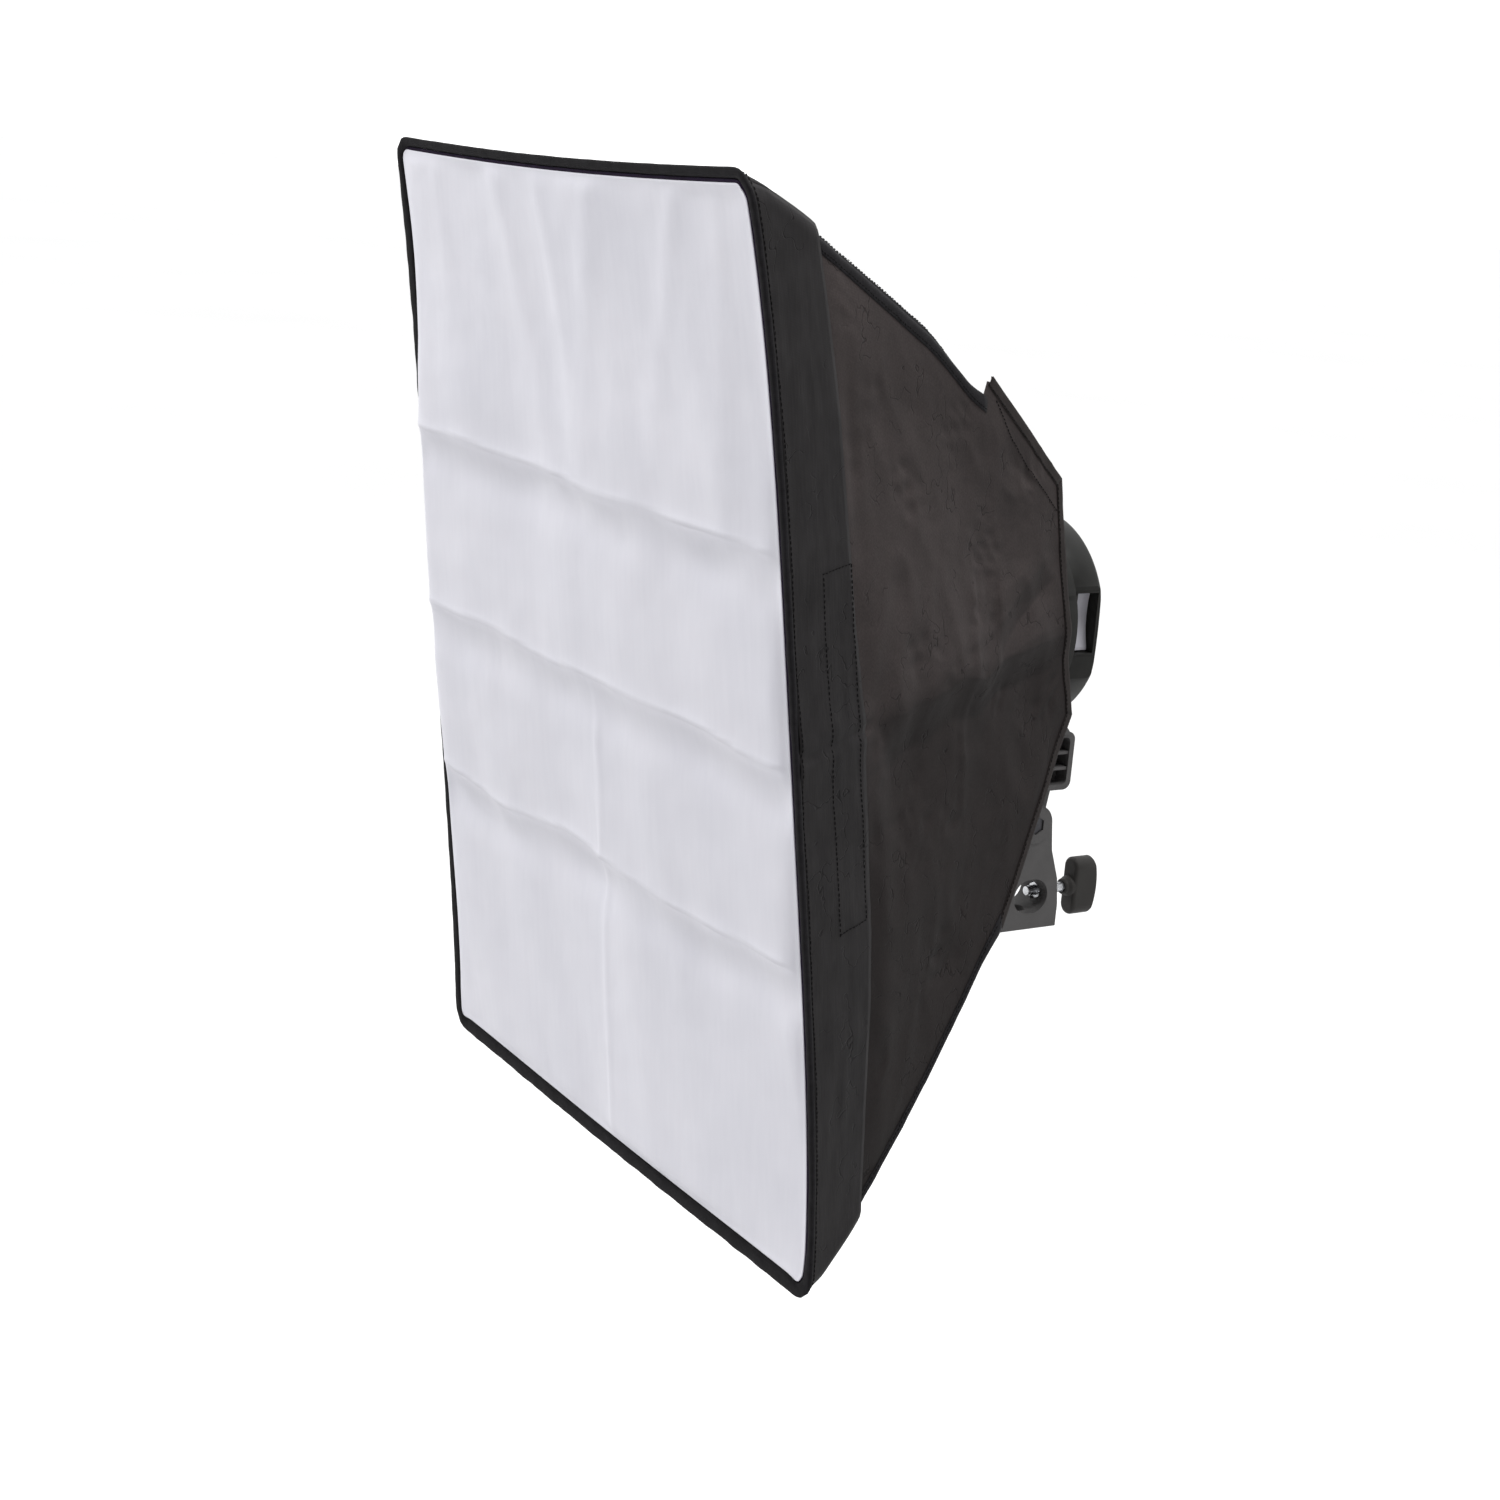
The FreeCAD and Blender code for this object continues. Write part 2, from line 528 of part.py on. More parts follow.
# ---------------------------------------------------------------- stand bracket
def make_bracket():
    half_x, half_y = BRACKET_HALF_X, BRACKET_HALF_Y
    rear = [(half_y, 0), (half_y, 18), (half_y - 3, 40), (19.0, 64), (CHEEK_R, PIVOT_Z)]
    outline = [(-half_x, y, z) for y, z in rear] + [(-half_x, -y, z) for y, z in reversed(rear)]
    shape = prism(outline, (2 * half_x, 0, 0))
    shape = shape.fuse(rod(CHEEK_R, (-half_x, 0, PIVOT_Z), (half_x, 0, PIVOT_Z)))
    shape = shape.fuse(rod(BOSS_R, (-half_x - 1, 0, PIVOT_Z), (half_x + 1, 0, PIVOT_Z)))
    slot_half = TONGUE_HALF_X + TONGUE_GAP
    shape = shape.cut(block((-slot_half, -60, 62), (slot_half, 60, 120)))
    shape = shape.cut(rod(STAND_R, (0, 0, -1), (0, 0, SOCKET_DEPTH)))
    window_end = WINDOW_R + WINDOW_STRETCH
    window = rounded_block((-40, -WINDOW_R, WINDOW_Z - WINDOW_R), (40, window_end, WINDOW_Z + WINDOW_R),
                           WINDOW_R - 0.01, X_AXIS)
    shape = shape.cut(window)
    shape = shape.cut(rod(M8_R + M8_CLEAR, (0, 0, SCREW_Z), (0, 60, SCREW_Z)))
    shape = shape.cut(hexagon(M8_AF, (0, window_end - 6, SCREW_Z), (0, M8_NUT_T + 6, 0)))
    shape = shape.cut(rod(M8_R + M8_CLEAR, (-40, 0, PIVOT_Z), (40, 0, PIVOT_Z)))
    shape = shape.cut(hexagon(M8_AF + 0.3, (half_x - 5.5, 0, PIVOT_Z), (20, 0, 0)))
    parts["stand_bracket"] = shape.removeSplitter()
    nut = hexagon(M8_AF, (0, window_end, SCREW_Z), (0, M8_NUT_T, 0))
    parts["clamp_nut"] = nut.cut(rod(M8_R + M8_CLEAR, (0, 0, SCREW_Z), (0, 60, SCREW_Z)))


def thread(radius, start, end, pitch):
    """Shaft with shallow grooves, one for each turn of a screw thread."""
    start, end = Vector(*start), Vector(*end)
    along = end - start
    shaft = Part.makeCylinder(radius, along.Length, start, along)
    unit = Vector(along).normalize()
    turns = int(along.Length / pitch) - 1
    for index in range(1, turns):
        spot = start + unit * (index * pitch)
        groove = Part.makeCylinder(radius + 1, pitch * 0.45, spot, unit)
        groove = groove.cut(Part.makeCylinder(radius - 0.45, pitch * 0.45, spot, unit))
        shaft = shaft.cut(groove)
    return shaft


def make_clamp():
    """Thumb screw through the rear wall of the bracket, with a swivelling pad on its tip."""
    parts["clamp_pad"] = rod(PAD_R, (0, PAD_Y, SCREW_Z), (0, PAD_Y + PAD_T, SCREW_Z))
    screw_y = PAD_Y + PAD_T + PAD_GAP
    parts["clamp_screw"] = thread(M8_R, (0, screw_y, SCREW_Z), (0, SCREW_END_Y, SCREW_Z), M8_PITCH)
    hub = turned([(0, KNOB_HUB_Y), (5.6, KNOB_HUB_Y), (6.6, KNOB_HUB_Y + 1.2), (6.6, KNOB_HUB_Y + 3),
                  (8.4, KNOB_HUB_Y + 5.5), (8.4, KNOB_HUB_Y + 11), (0, KNOB_HUB_Y + 11)], Vector(0, 0, SCREW_Z))
    wing_y = KNOB_HUB_Y + 7.5
    half_w, half_h = KNOB_WIDTH / 2, KNOB_SPAN / 2
    wing = rounded_block((-half_w, wing_y, SCREW_Z - half_h),
                         (half_w, wing_y + KNOB_DEPTH, SCREW_Z + half_h), half_w - 0.1, Y_AXIS)
    # The outer face is part of a wide cylinder about an axis along X.
    crown_r = (half_h ** 2 + KNOB_CROWN ** 2) / (2 * KNOB_CROWN)
    crown_y = wing_y + KNOB_DEPTH - crown_r
    wing = wing.common(rod(crown_r, (-20, crown_y, SCREW_Z), (20, crown_y, SCREW_Z)))
    rims = [e for e in wing.Edges if e.BoundBox.YMax < wing_y + 0.01]
    wing = wing.makeFillet(3.0, rims)
    knob = hub.fuse(wing)
    knob = knob.cut(rod(M8_R, (0, KNOB_HUB_Y - 1, SCREW_Z), (0, SCREW_END_Y, SCREW_Z)))
    parts["clamp_knob"] = knob.removeSplitter()


def make_tilt_lock():
    """Bolt through the pivot, caught in one cheek, with a hand nut on the other side."""
    half_x = BRACKET_HALF_X
    head = hexagon(M8_AF, (half_x - 5.5, 0, PIVOT_Z), (5.3, 0, 0))
    bolt = head.fuse(rod(M8_R, (half_x - 5.5, 0, PIVOT_Z), (-half_x - 24, 0, PIVOT_Z)))
    parts["tilt_bolt"] = bolt.removeSplitter()
    washer_x = -half_x - 1.0
    washer = ring(9.0, M8_R + M8_CLEAR, (washer_x - 1.6, 0, PIVOT_Z), (washer_x, 0, PIVOT_Z))
    parts["tilt_washer"] = washer
    nut_x = washer_x - 1.6
    insert = hexagon(M8_AF, (nut_x, 0, PIVOT_Z), (-M8_NUT_T, 0, 0))
    insert = insert.cut(rod(M8_R + M8_CLEAR, (nut_x, 0, PIVOT_Z), (nut_x - 40, 0, PIVOT_Z)))
    parts["tilt_insert"] = insert
    knob = rod(17.0, (nut_x, 0, PIVOT_Z), (nut_x - 24, 0, PIVOT_Z))
    for index in range(6):
        angle = math.radians(60 * index + 30)
        y, z = 22.5 * math.cos(angle), PIVOT_Z + 22.5 * math.sin(angle)
        knob = knob.cut(rod(9.0, (nut_x + 1, y, z), (nut_x - 30, y, z)))
    knob = knob.fuse(rod(11.0, (nut_x, 0, PIVOT_Z), (nut_x - 25.0, 0, PIVOT_Z)))
    knob = knob.cut(hexagon(M8_AF, (nut_x, 0, PIVOT_Z), (-M8_NUT_T, 0, 0)))
    knob = knob.cut(rod(M8_R + M8_CLEAR, (nut_x, 0, PIVOT_Z), (nut_x - 22.5, 0, PIVOT_Z)))
    parts["tilt_knob"] = knob.removeSplitter()


# ---------------------------------------------------------------- build
make_fabric()
make_hem()
make_diffuser()
make_rods()
make_hub()
make_housing()
make_gland()
make_sockets()
make_lamps()
make_switches()
make_arm()
make_bracket()
make_clamp()
make_tilt_lock()

os.makedirs("parts", exist_ok=True)
for name, shape in parts.items():
    if not shape.isValid():
        print("not valid:", name)
    shape.exportStep("parts/%s.step" % name)
print(len(parts), "nodes")
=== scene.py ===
import json
import math
import random
import bpy
from mathutils import Matrix, Vector, noise


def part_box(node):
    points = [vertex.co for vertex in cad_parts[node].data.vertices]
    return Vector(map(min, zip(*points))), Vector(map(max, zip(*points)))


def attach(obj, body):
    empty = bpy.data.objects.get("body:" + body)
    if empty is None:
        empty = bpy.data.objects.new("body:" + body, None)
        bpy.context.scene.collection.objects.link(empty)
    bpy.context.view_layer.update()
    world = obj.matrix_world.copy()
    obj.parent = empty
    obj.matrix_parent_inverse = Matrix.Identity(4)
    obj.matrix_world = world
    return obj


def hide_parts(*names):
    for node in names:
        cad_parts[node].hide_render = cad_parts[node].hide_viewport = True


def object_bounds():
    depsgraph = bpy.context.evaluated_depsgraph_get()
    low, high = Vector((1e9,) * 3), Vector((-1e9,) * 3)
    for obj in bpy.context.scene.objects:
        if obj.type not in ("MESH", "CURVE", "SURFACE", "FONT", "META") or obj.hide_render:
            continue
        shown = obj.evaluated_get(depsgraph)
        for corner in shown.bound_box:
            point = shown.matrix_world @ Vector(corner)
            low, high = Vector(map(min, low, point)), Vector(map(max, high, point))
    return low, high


# A 50 x 70 cm softbox on a tilting lamp head. Metres, in the CAD model's row frame.
# The fabric is made here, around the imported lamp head, bracket, rods and lamps.

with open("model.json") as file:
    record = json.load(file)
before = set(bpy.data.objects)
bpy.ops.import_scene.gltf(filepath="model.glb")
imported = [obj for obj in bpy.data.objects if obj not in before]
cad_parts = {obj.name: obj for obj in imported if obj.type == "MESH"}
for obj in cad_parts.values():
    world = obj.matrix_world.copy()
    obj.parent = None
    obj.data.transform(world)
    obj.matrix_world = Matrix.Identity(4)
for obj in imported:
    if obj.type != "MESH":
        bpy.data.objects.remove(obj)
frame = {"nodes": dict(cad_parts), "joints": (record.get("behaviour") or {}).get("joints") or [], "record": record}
cad_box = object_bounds()
random.seed(7)

# Fabric box, in its own frame: origin at the middle of the front, depth runs to the rear.
FRONT_W = 0.500
FRONT_H = 0.700
APEX = 0.553                    # depth where the four walls would meet
CORNER_R = 0.010                # rounding of the box's edges over the rods
FRONT_R = 0.019                 # the front's corners, softer still
RIB_END = 0.245                 # depth where the sewn ribs stop
VENT_DEPTH = 0.262              # rear edge of the top and bottom panels
VENT_SHARE = 0.86               # its width, as a share of the way between the ribs
FLAP_TOP = (0.112, 0.337)       # rear corners of a side flap: height, depth
FLAP_BOTTOM = (-0.071, 0.362)
FLAP_EAR = (0.0045, 0.001)      # the flap's upper corner stands out beyond the rib's end
FLAP_FOOT = (0.0, 0.002)        # and its lower corner: outwards, to the rear
CLOTH_T = 0.0007
DIFFUSER_AHEAD = 0.00435        # middle of the diffuser, in front of the box's front
STRIP_L = 0.246                 # hook-and-loop tape
STRIP_W = 0.038
STRIP_FRONT = 0.026
GRID = 0.0035                   # the cloth's mesh size
SIDES = ("right", "left")
WALLS = ("right", "top", "left", "bottom")

release = next(j for j in frame["joints"] if j["name"] == "diffuser_release")
AHEAD = Vector(release["axis"]).normalized()
BACK = -AHEAD
ACROSS = Vector((1, 0, 0))
UP = ACROSS.cross(BACK)
SAG_ANGLE = math.atan2(BACK.z, BACK.y)
low, high = (Vector(corner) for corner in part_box("diffuser"))
ORIGIN = (low + high) / 2 + BACK * DIFFUSER_AHEAD


def row_point(x, depth, z):
    """Row-frame point from the fabric box's own coordinates."""
    return ORIGIN + ACROSS * x + BACK * depth + UP * z


def smooth(value, low_edge, high_edge):
    """0 below low_edge, 1 above high_edge, eased in between."""
    share = min(1.0, max(0.0, (value - low_edge) / (high_edge - low_edge)))
    return share * share * (3 - 2 * share)


def wave(x, y, z):
    """Smooth noise, about -1..1."""
    return noise.noise(Vector((x, y, z)))


def swell(gap, width):
    """A soft bump's section: 1 at its middle."""
    return math.exp(-(gap / width) ** 2)


def between(value, stops):
    """Linear interpolation through (place, height) stops."""
    for (a, high_a), (b, high_b) in zip(stops, stops[1:]):
        if value <= b:
            share = min(1.0, max(0.0, (value - a) / (b - a)))
            return high_a + (high_b - high_a) * share
    return stops[-1][1]


def curve(points, count):
    """Evenly spread points along a closed Catmull-Rom curve through 2-D points."""
    result = []
    size = len(points)
    for index in range(size):
        a, b, c, d = (points[(index + k - 1) % size] for k in range(4))
        for step in range(count):
            t = step / count
            result.append(tuple(
                0.5 * (2 * q + (r - p) * t + (2 * p - 5 * q + 4 * r - s) * t * t
                       + (3 * q - p - 3 * r + s) * t ** 3)
                for p, q, r, s in zip(a, b, c, d)))
    return result


# ---- how the cloth hangs
# Inward sag of the front edge at mid-wall, and how far it is drawn back there.
EDGE_SAG = {"top": 0.0045, "bottom": -0.0040, "left": 0.001, "right": 0.001}
EDGE_BACK = {"top": 0.002, "bottom": 0.002, "left": 0.004, "right": 0.012}
DRAWN_BACK = ((0.0, 1.0), (0.07, 1.75), (0.2, 0.6), (0.34, 0.0))       # and behind it, as a share
# The uneven pull of the rods twists the front: each corner is this far back, and this high.
CORNER_BACK = {("left", "top"): 0.006, ("right", "top"): 0.0, ("left", "bottom"): -0.003,
               ("right", "bottom"): 0.015}
CORNER_RISE = {("left", "top"): 0.003, ("right", "top"): 0.001, ("left", "bottom"): 0.007,
               ("right", "bottom"): -0.010}
WALL_SINK = {"top": 0.006, "bottom": 0.001, "left": 0.004, "right": 0.004}
BAND_STEP = 0.0016              # the panels lie this much below the band's surface
STEP_RUN = 0.003                # and drop to it over this much depth
# Sections of the side panel's long fold and of the pocket above it: height on the cloth, relief.
FOLD = ((-0.15, 0.0), (-0.10, -0.0022), (-0.055, -0.0050), (-0.034, -0.0052), (-0.024, -0.0036),
        (0.0, 0.0044), (0.010, 0.0046), (0.045, 0.0018), (0.09, 0.0))
POCKET = ((-0.006, 0.0), (0.008, -0.0022), (0.030, 0.0020), (0.042, 0.0022), (0.075, 0.0))
NOISE_SHIFT = {"right": 0.0, "top": 11.3, "left": 23.7, "bottom": 37.1}
# Depth of the seam between band and panel along each wall, before the wall is drawn back.
SEAM = {"right": ((-1, 0.0470), (-0.73, 0.0468), (-0.4, 0.0530), (0.04, 0.0550), (0.45, 0.0480),
                  (1, 0.0495)),
        "left": ((-1, 0.0585), (1, 0.0585)),
        "top": ((-1, 0.0585), (0.4, 0.0575), (1, 0.0495)),
        "bottom": ((-1, 0.0585), (0.4, 0.0575), (1, 0.0470))}
# Where the upper right rib gives way: how far, from what share of a wall, over which depths.
NOTCH_DROP = 0.011
NOTCH_SHARE = 0.55
NOTCH_START = 0.165
NOTCH_FULL = 0.240
NOTCH_END = (0.2375, 0.2405)
NOTCH_TUCK = 0.4                # the top panel moves in behind the side panel by this share of it


def taper(depth):
    return 1.0 - depth / APEX


def twist(corners, u, v):
    """The corners' values blended over the front, for u, v in -1..1 across and up it."""
    total = 0.0
    for (across, up), value in corners.items():
        share_u = (1 + u) / 2 if across == "right" else (1 - u) / 2
        share_v = (1 + v) / 2 if up == "top" else (1 - v) / 2
        total += share_u * share_v * value
    return total


def twist_fade(depth):
    """The twist dies away towards the head."""
    return 1 - smooth(depth, 0.10, 0.36)


def wall_spot(side, s):
    """u, v of a place on a wall."""
    return {"right": (1, s), "left": (-1, s), "top": (s, 1), "bottom": (s, -1)}[side]


def seam_depth(side, s):
    return between(s, SEAM[side])


def notch(side, s, depth):
    """The upper right rib gives way at its rear end, which leaves the flap's corner standing."""
    u, v = wall_spot(side, s)
    drop = NOTCH_DROP * smooth(u, NOTCH_SHARE, 1.0) * smooth(v, NOTCH_SHARE, 1.0)
    drop *= smooth(depth, NOTCH_START, NOTCH_FULL)
    return drop * (1 - smooth(depth, *NOTCH_END)) if side in SIDES else drop


def half_lengths(side, depth):
    """Half the wall's length between its ribs, and its distance from the box's axis."""
    half_w, half_h = FRONT_W / 2 * taper(depth), FRONT_H / 2 * taper(depth)
    return (half_h, half_w) if side in SIDES else (half_w, half_h)


def wall_reach(side, depth):
    """Distance along the cloth from mid-wall to the middle of the rounded edge."""
    radius = edge_radius(depth)
    return half_lengths(side, depth)[0] - radius + radius * math.pi / 4


def edge_radius(depth):
    radius = FRONT_R + (CORNER_R - FRONT_R) * smooth(depth, -0.006, 0.012)
    return radius * (1 - smooth(depth, RIB_END - 0.03, RIB_END + 0.002)) + 1e-5


def wrinkles(side, along, depth):
    """Height of the cloth's own creases, in metres: the band's, easing into the panel's."""
    seam = seam_depth(side, along / wall_reach(side, depth))
    share = smooth(depth, seam, seam + 0.014)
    height = band_wrinkles(side, along, depth) * (1 - share) if share < 1 else 0.0
    return height + panel_wrinkles(side, along, depth) * share if share else height


def band_wrinkles(side, along, depth):
    """Streaks along the hem, and on the side bands one pinched crease near mid-height."""
    shift = NOISE_SHIFT[side]
    spot = Vector((along, depth, shift))
    soft = 0.0009 * noise.noise(spot / 0.06)
    streaks = 0.00045 * wave(along / 0.05, depth / 0.0055, shift)
    fine = 0.0002 * noise.noise(spot / 0.011)
    crease = 0.0
    if side in SIDES:
        gap = along - 0.012 - 0.005 * wave(depth / 0.02, shift, 1)
        crease = -0.0034 * math.exp(-abs(gap) / 0.0035) + 0.0022 * swell(gap, 0.014)
    return soft + streaks + fine + crease


def panel_wrinkles(side, along, depth):
    """Soft swells and crushed patches; on the side panels also a long fold, a pocket and a crease."""
    shift = NOISE_SHIFT[side]
    spot = Vector((along, depth, shift))
    soft = 0.0048 * noise.noise(spot / 0.13)
    folds = -0.0019 * abs(wave(along / 0.055, depth / 0.035, shift + 3))
    patch = smooth(noise.noise(spot / 0.05 + Vector((0, 0, 9))), 0.0, 0.4)
    crushed = -0.0020 * patch * abs(noise.noise(spot / 0.014)) + 0.00015 * noise.noise(spot / 0.008)
    fold = 0.0
    if side in SIDES:
        line = 0.012 - 0.06 * (depth - 0.07)
        gap = along - line - 0.008 * wave(depth / 0.04, shift, 5)
        strength = smooth(depth, 0.066, 0.10) * (1 - 0.6 * smooth(depth, 0.29, 0.345))
        fold = strength * between(gap * (1 + 1.6 * (depth - 0.07)), FOLD)
        pocket = smooth(depth, 0.240, 0.249) * (1 - smooth(depth, 0.29, 0.345))
        fold += pocket * between(along - 0.4 * (depth - 0.245), POCKET)
        upright = depth - 0.205 - 0.12 * (along - 0.02)
        length = smooth(along, -0.16, -0.02) * (1 - smooth(along, 0.05, 0.13))
        fold += 0.0016 * math.exp(-abs(upright) / 0.004) * length
    return soft + folds + crushed + fold


def cloth(side, along, depth, lift=0.0, hem=False):
    """Row-frame point on a wall. along is measured on the cloth from mid-wall, lift outward.

    With hem, the creases are left out, and lift is measured in the plane of the front instead of
    square to the wall.
    """
    half, off = half_lengths(side, depth)
    radius = edge_radius(depth)
    straight = half - radius
    s = max(-1.0, min(1.0, along / wall_reach(side, depth)))
    if abs(along) <= straight or radius < 0.001:
        a, o, normal_a, normal_o = along, off, 0.0, 1.0
    else:
        angle = (abs(along) - straight) / radius
        sign = math.copysign(1.0, along)
        a, o = sign * (straight + radius * math.sin(angle)), off - radius + radius * math.cos(angle)
        normal_a, normal_o = sign * math.sin(angle), math.cos(angle)
    slope_own, slope_other = FRONT_W / 2 / APEX, FRONT_H / 2 / APEX
    if side not in SIDES:
        slope_own, slope_other = slope_other, slope_own
    lean = 0.0 if hem else normal_o ** 2 * slope_own + normal_a ** 2 * slope_other
    normal = Vector((normal_a, normal_o, lean)).normalized()

    belly = 1 - s * s
    front = 1 - smooth(depth, 0.0, 0.12)
    rear = smooth(depth, 0.0, 0.16) * (1 - 0.5 * smooth(depth, 0.2, 0.36))
    sag = belly * EDGE_SAG[side] * front
    height = lift - belly * WALL_SINK[side] * rear
    height -= BAND_STEP * smooth(depth, seam_depth(side, s), seam_depth(side, s) + STEP_RUN)
    if not hem:
        height += wrinkles(side, along, depth) * min(1.0, 3.5 * (1 - abs(s)) + 0.12)
    drawn = (1 - s ** 4) * EDGE_BACK[side] * between(depth, DRAWN_BACK)
    fade = twist_fade(depth)
    drawn += twist(CORNER_BACK, *wall_spot(side, s)) * fade
    rise = twist(CORNER_RISE, *wall_spot(side, s)) * fade - notch(side, s, depth)
    a += normal.x * height - normal_a * sag
    if side == "top":
        a -= NOTCH_TUCK * notch(side, s, depth)
    o += normal.y * height - normal_o * sag
    depth += normal.z * height + drawn
    sign = -1 if side in ("left", "bottom") else 1
    if side in SIDES:
        return row_point(sign * o, depth, a + rise)
    return row_point(a, depth, sign * o + rise)


def spot_on(side, s, depth, lift=0.0, hem=False):
    """As cloth(), with the place along the wall as a share of its reach, -1..1."""
    return cloth(side, s * wall_reach(side, depth), depth, lift, hem)


# ---- mesh helpers
def new_object(name, data):
    """A Blender object of this data, in the scene."""
    thing = bpy.data.objects.new(name, data)
    bpy.context.scene.collection.objects.link(thing)
    return thing


def make_object(name, verts, faces, materials, body="head"):
    mesh = bpy.data.meshes.new(name)
    mesh.from_pydata(verts, [], faces)
    mesh.validate()
    mesh.polygons.foreach_set("use_smooth", [True] * len(mesh.polygons))
    for material in materials:
        mesh.materials.append(material)
    piece = new_object(name, mesh)
    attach(piece, body)
    return piece


def grid_faces(rows, columns, closed=False):
    faces = []
    for i in range(rows - 1):
        for j in range(columns if closed else columns - 1):
            k = (j + 1) % columns
            faces.append((i * columns + j, i * columns + k, (i + 1) * columns + k, (i + 1) * columns + j))
    return faces


def make_sheet(name, rows, outward, materials, body="head", thickness=CLOTH_T):
    """A grid of points as cloth of that thickness. outward is a rough outward direction."""
    verts = [point for row in rows for point in row]
    faces = grid_faces(len(rows), len(rows[0]))
    a, b, c, _ = (verts[i] for i in faces[len(faces) // 2])
    if (b - a).cross(c - b).dot(outward) < 0:
        faces = [face[::-1] for face in faces]
    piece = make_object(name, verts, faces, materials, body)
    solid = piece.modifiers.new("thickness", "SOLIDIFY")
    solid.thickness = thickness
    solid.offset = -1
    solid.use_even_offset = True
    solid.material_offset = len(materials) - 1
    return piece


def make_sweep(name, rings, materials):
    """Closed sections joined along a path that closes on itself."""
    count = len(rings[0])
    verts = [point for ring in rings for point in ring]
    faces = grid_faces(len(rings), count, closed=True)
    last = (len(rings) - 1) * count
    faces += [(last + j, last + (j + 1) % count, (j + 1) % count, j) for j in range(count)]
    piece = make_object(name, verts, faces, materials)
    mesh = piece.data
    middle = sum(verts, Vector()) / len(verts)
    if sum(p.area * p.normal.dot(p.center - middle) for p in mesh.polygons) < 0:
        mesh.flip_normals()
    return piece


def stations(start, end, step):
    """Evenly spread values from start to end, about step apart."""
    return spread(start, end, max(1, round(abs(end - start) / step)))


def spread(start, end, steps):
    """steps + 1 evenly spread values from start to end."""
    return [start + (end - start) * k / steps for k in range(steps + 1)]


# ---- stitches
STITCH_STEP = 0.0034
STITCH_L = 0.0024
STITCH_R = 0.00032
STITCH_OFF = 0.00018            # how unevenly the stitches lie
STITCH_TURN = 0.12
BEAD_SIDES = 6
# Place along a bead, and share of its radius there.
BEAD_RINGS = ((-0.5, 0.35), (-0.3, 1.0), (0.3, 1.0), (0.5, 0.35))


def stitch_line(verts, faces, points):
    """Adds one small thread bead per step along a line of points."""
    carried = 0.0
    for start, end in zip(points, points[1:]):
        run = end - start
        length = run.length
        if length < 1e-7:
            continue
        run.normalize()
        place = carried
        while place < length:
            wander = Vector((random.uniform(-1, 1), random.uniform(-1, 1), random.uniform(-1, 1)))
            centre = start + run * place + wander * STITCH_OFF
            add_bead(verts, faces, centre, (run + wander * STITCH_TURN).normalized())
            place += STITCH_STEP * random.uniform(0.93, 1.07)
        carried = place - length


def add_bead(verts, faces, centre, run):
    side = run.cross(Vector((0.31, 0.17, 0.93))).normalized()
    other = run.cross(side)
    base = len(verts)
    for along, radius in BEAD_RINGS:
        for corner in range(BEAD_SIDES):
            angle = math.tau / BEAD_SIDES * corner
            verts.append(centre + run * STITCH_L * along
                         + (side * math.cos(angle) + other * math.sin(angle)) * STITCH_R * radius)
    for ring in range(len(BEAD_RINGS) - 1):
        first = base + ring * BEAD_SIDES
        for corner in range(BEAD_SIDES):
            a, b = first + corner, first + (corner + 1) % BEAD_SIDES
            faces.append((a, b, b + BEAD_SIDES, a + BEAD_SIDES))
    faces.append(tuple(base + k for k in reversed(range(BEAD_SIDES))))
    faces.append(tuple(len(verts) - BEAD_SIDES + k for k in range(BEAD_SIDES)))


# ---- materials
def add_node(tree, kind, inputs=None, **settings):
    node = tree.nodes.new("ShaderNode" + kind)
    for key, value in settings.items():
        setattr(node, key, value)
    set_inputs(tree, node, inputs or {})
    return node


def set_inputs(tree, node, inputs):
    """Sets a node's inputs, each to a plain value or from another node's output."""
    for key, value in inputs.items():
        if isinstance(value, bpy.types.NodeSocket):
            tree.links.new(value, node.inputs[key])
        else:
            node.inputs[key].default_value = value


def start_material(name, rough, sockets=None):
    """A material with its tree, its shader and a vector in the fabric box's own directions."""
    material = bpy.data.materials.new(name)
    material.use_nodes = True
    tree = material.node_tree
    shader = tree.nodes["Principled BSDF"]
    set_inputs(tree, shader, {"Roughness": rough, **(sockets or {})})
    coords = add_node(tree, "TexCoord")
    turn = add_node(tree, "Mapping", {"Rotation": (-SAG_ANGLE, 0, 0), "Vector": coords.outputs["Object"]})
    return material, tree, shader, turn.outputs["Vector"]


def noise_node(tree, vector, size, detail=3.0, stretch=None, roughness=0.5):
    """Noise whose features are about size across; stretch scales each axis."""
    if stretch:
        vector = add_node(tree, "VectorMath", {0: vector, 1: stretch}, operation="MULTIPLY").outputs[0]
    inputs = {"Vector": vector, "Scale": 1 / size, "Detail": detail, "Roughness": roughness}
    return add_node(tree, "TexNoise", inputs).outputs["Fac"]


def ramp(tree, value, low_color, high_color, low=0.3, high=0.7):
    """low_color up to the value low, high_color from the value high."""
    node = add_node(tree, "ValToRGB", {"Fac": value})
    for element, color, place in zip(node.color_ramp.elements, (low_color, high_color), (low, high)):
        element.position = place
        element.color = (*color, 1)
    return node.outputs["Color"]


def maths(tree, operation, first, second=0.0):
    return add_node(tree, "Math", {0: first, 1: second}, operation=operation).outputs[0]


def finish(tree, shader, color, layers):
    """Gives the shader its color and its bumps: (height, strength, distance) for each."""
    set_inputs(tree, shader, {"Base Color": color})
    normal = {}
    for height, strength, distance in layers:
        inputs = {"Strength": strength, "Distance": distance, "Height": height, **normal}
        normal = {"Normal": add_node(tree, "Bump", inputs).outputs["Normal"]}
    set_inputs(tree, shader, normal)


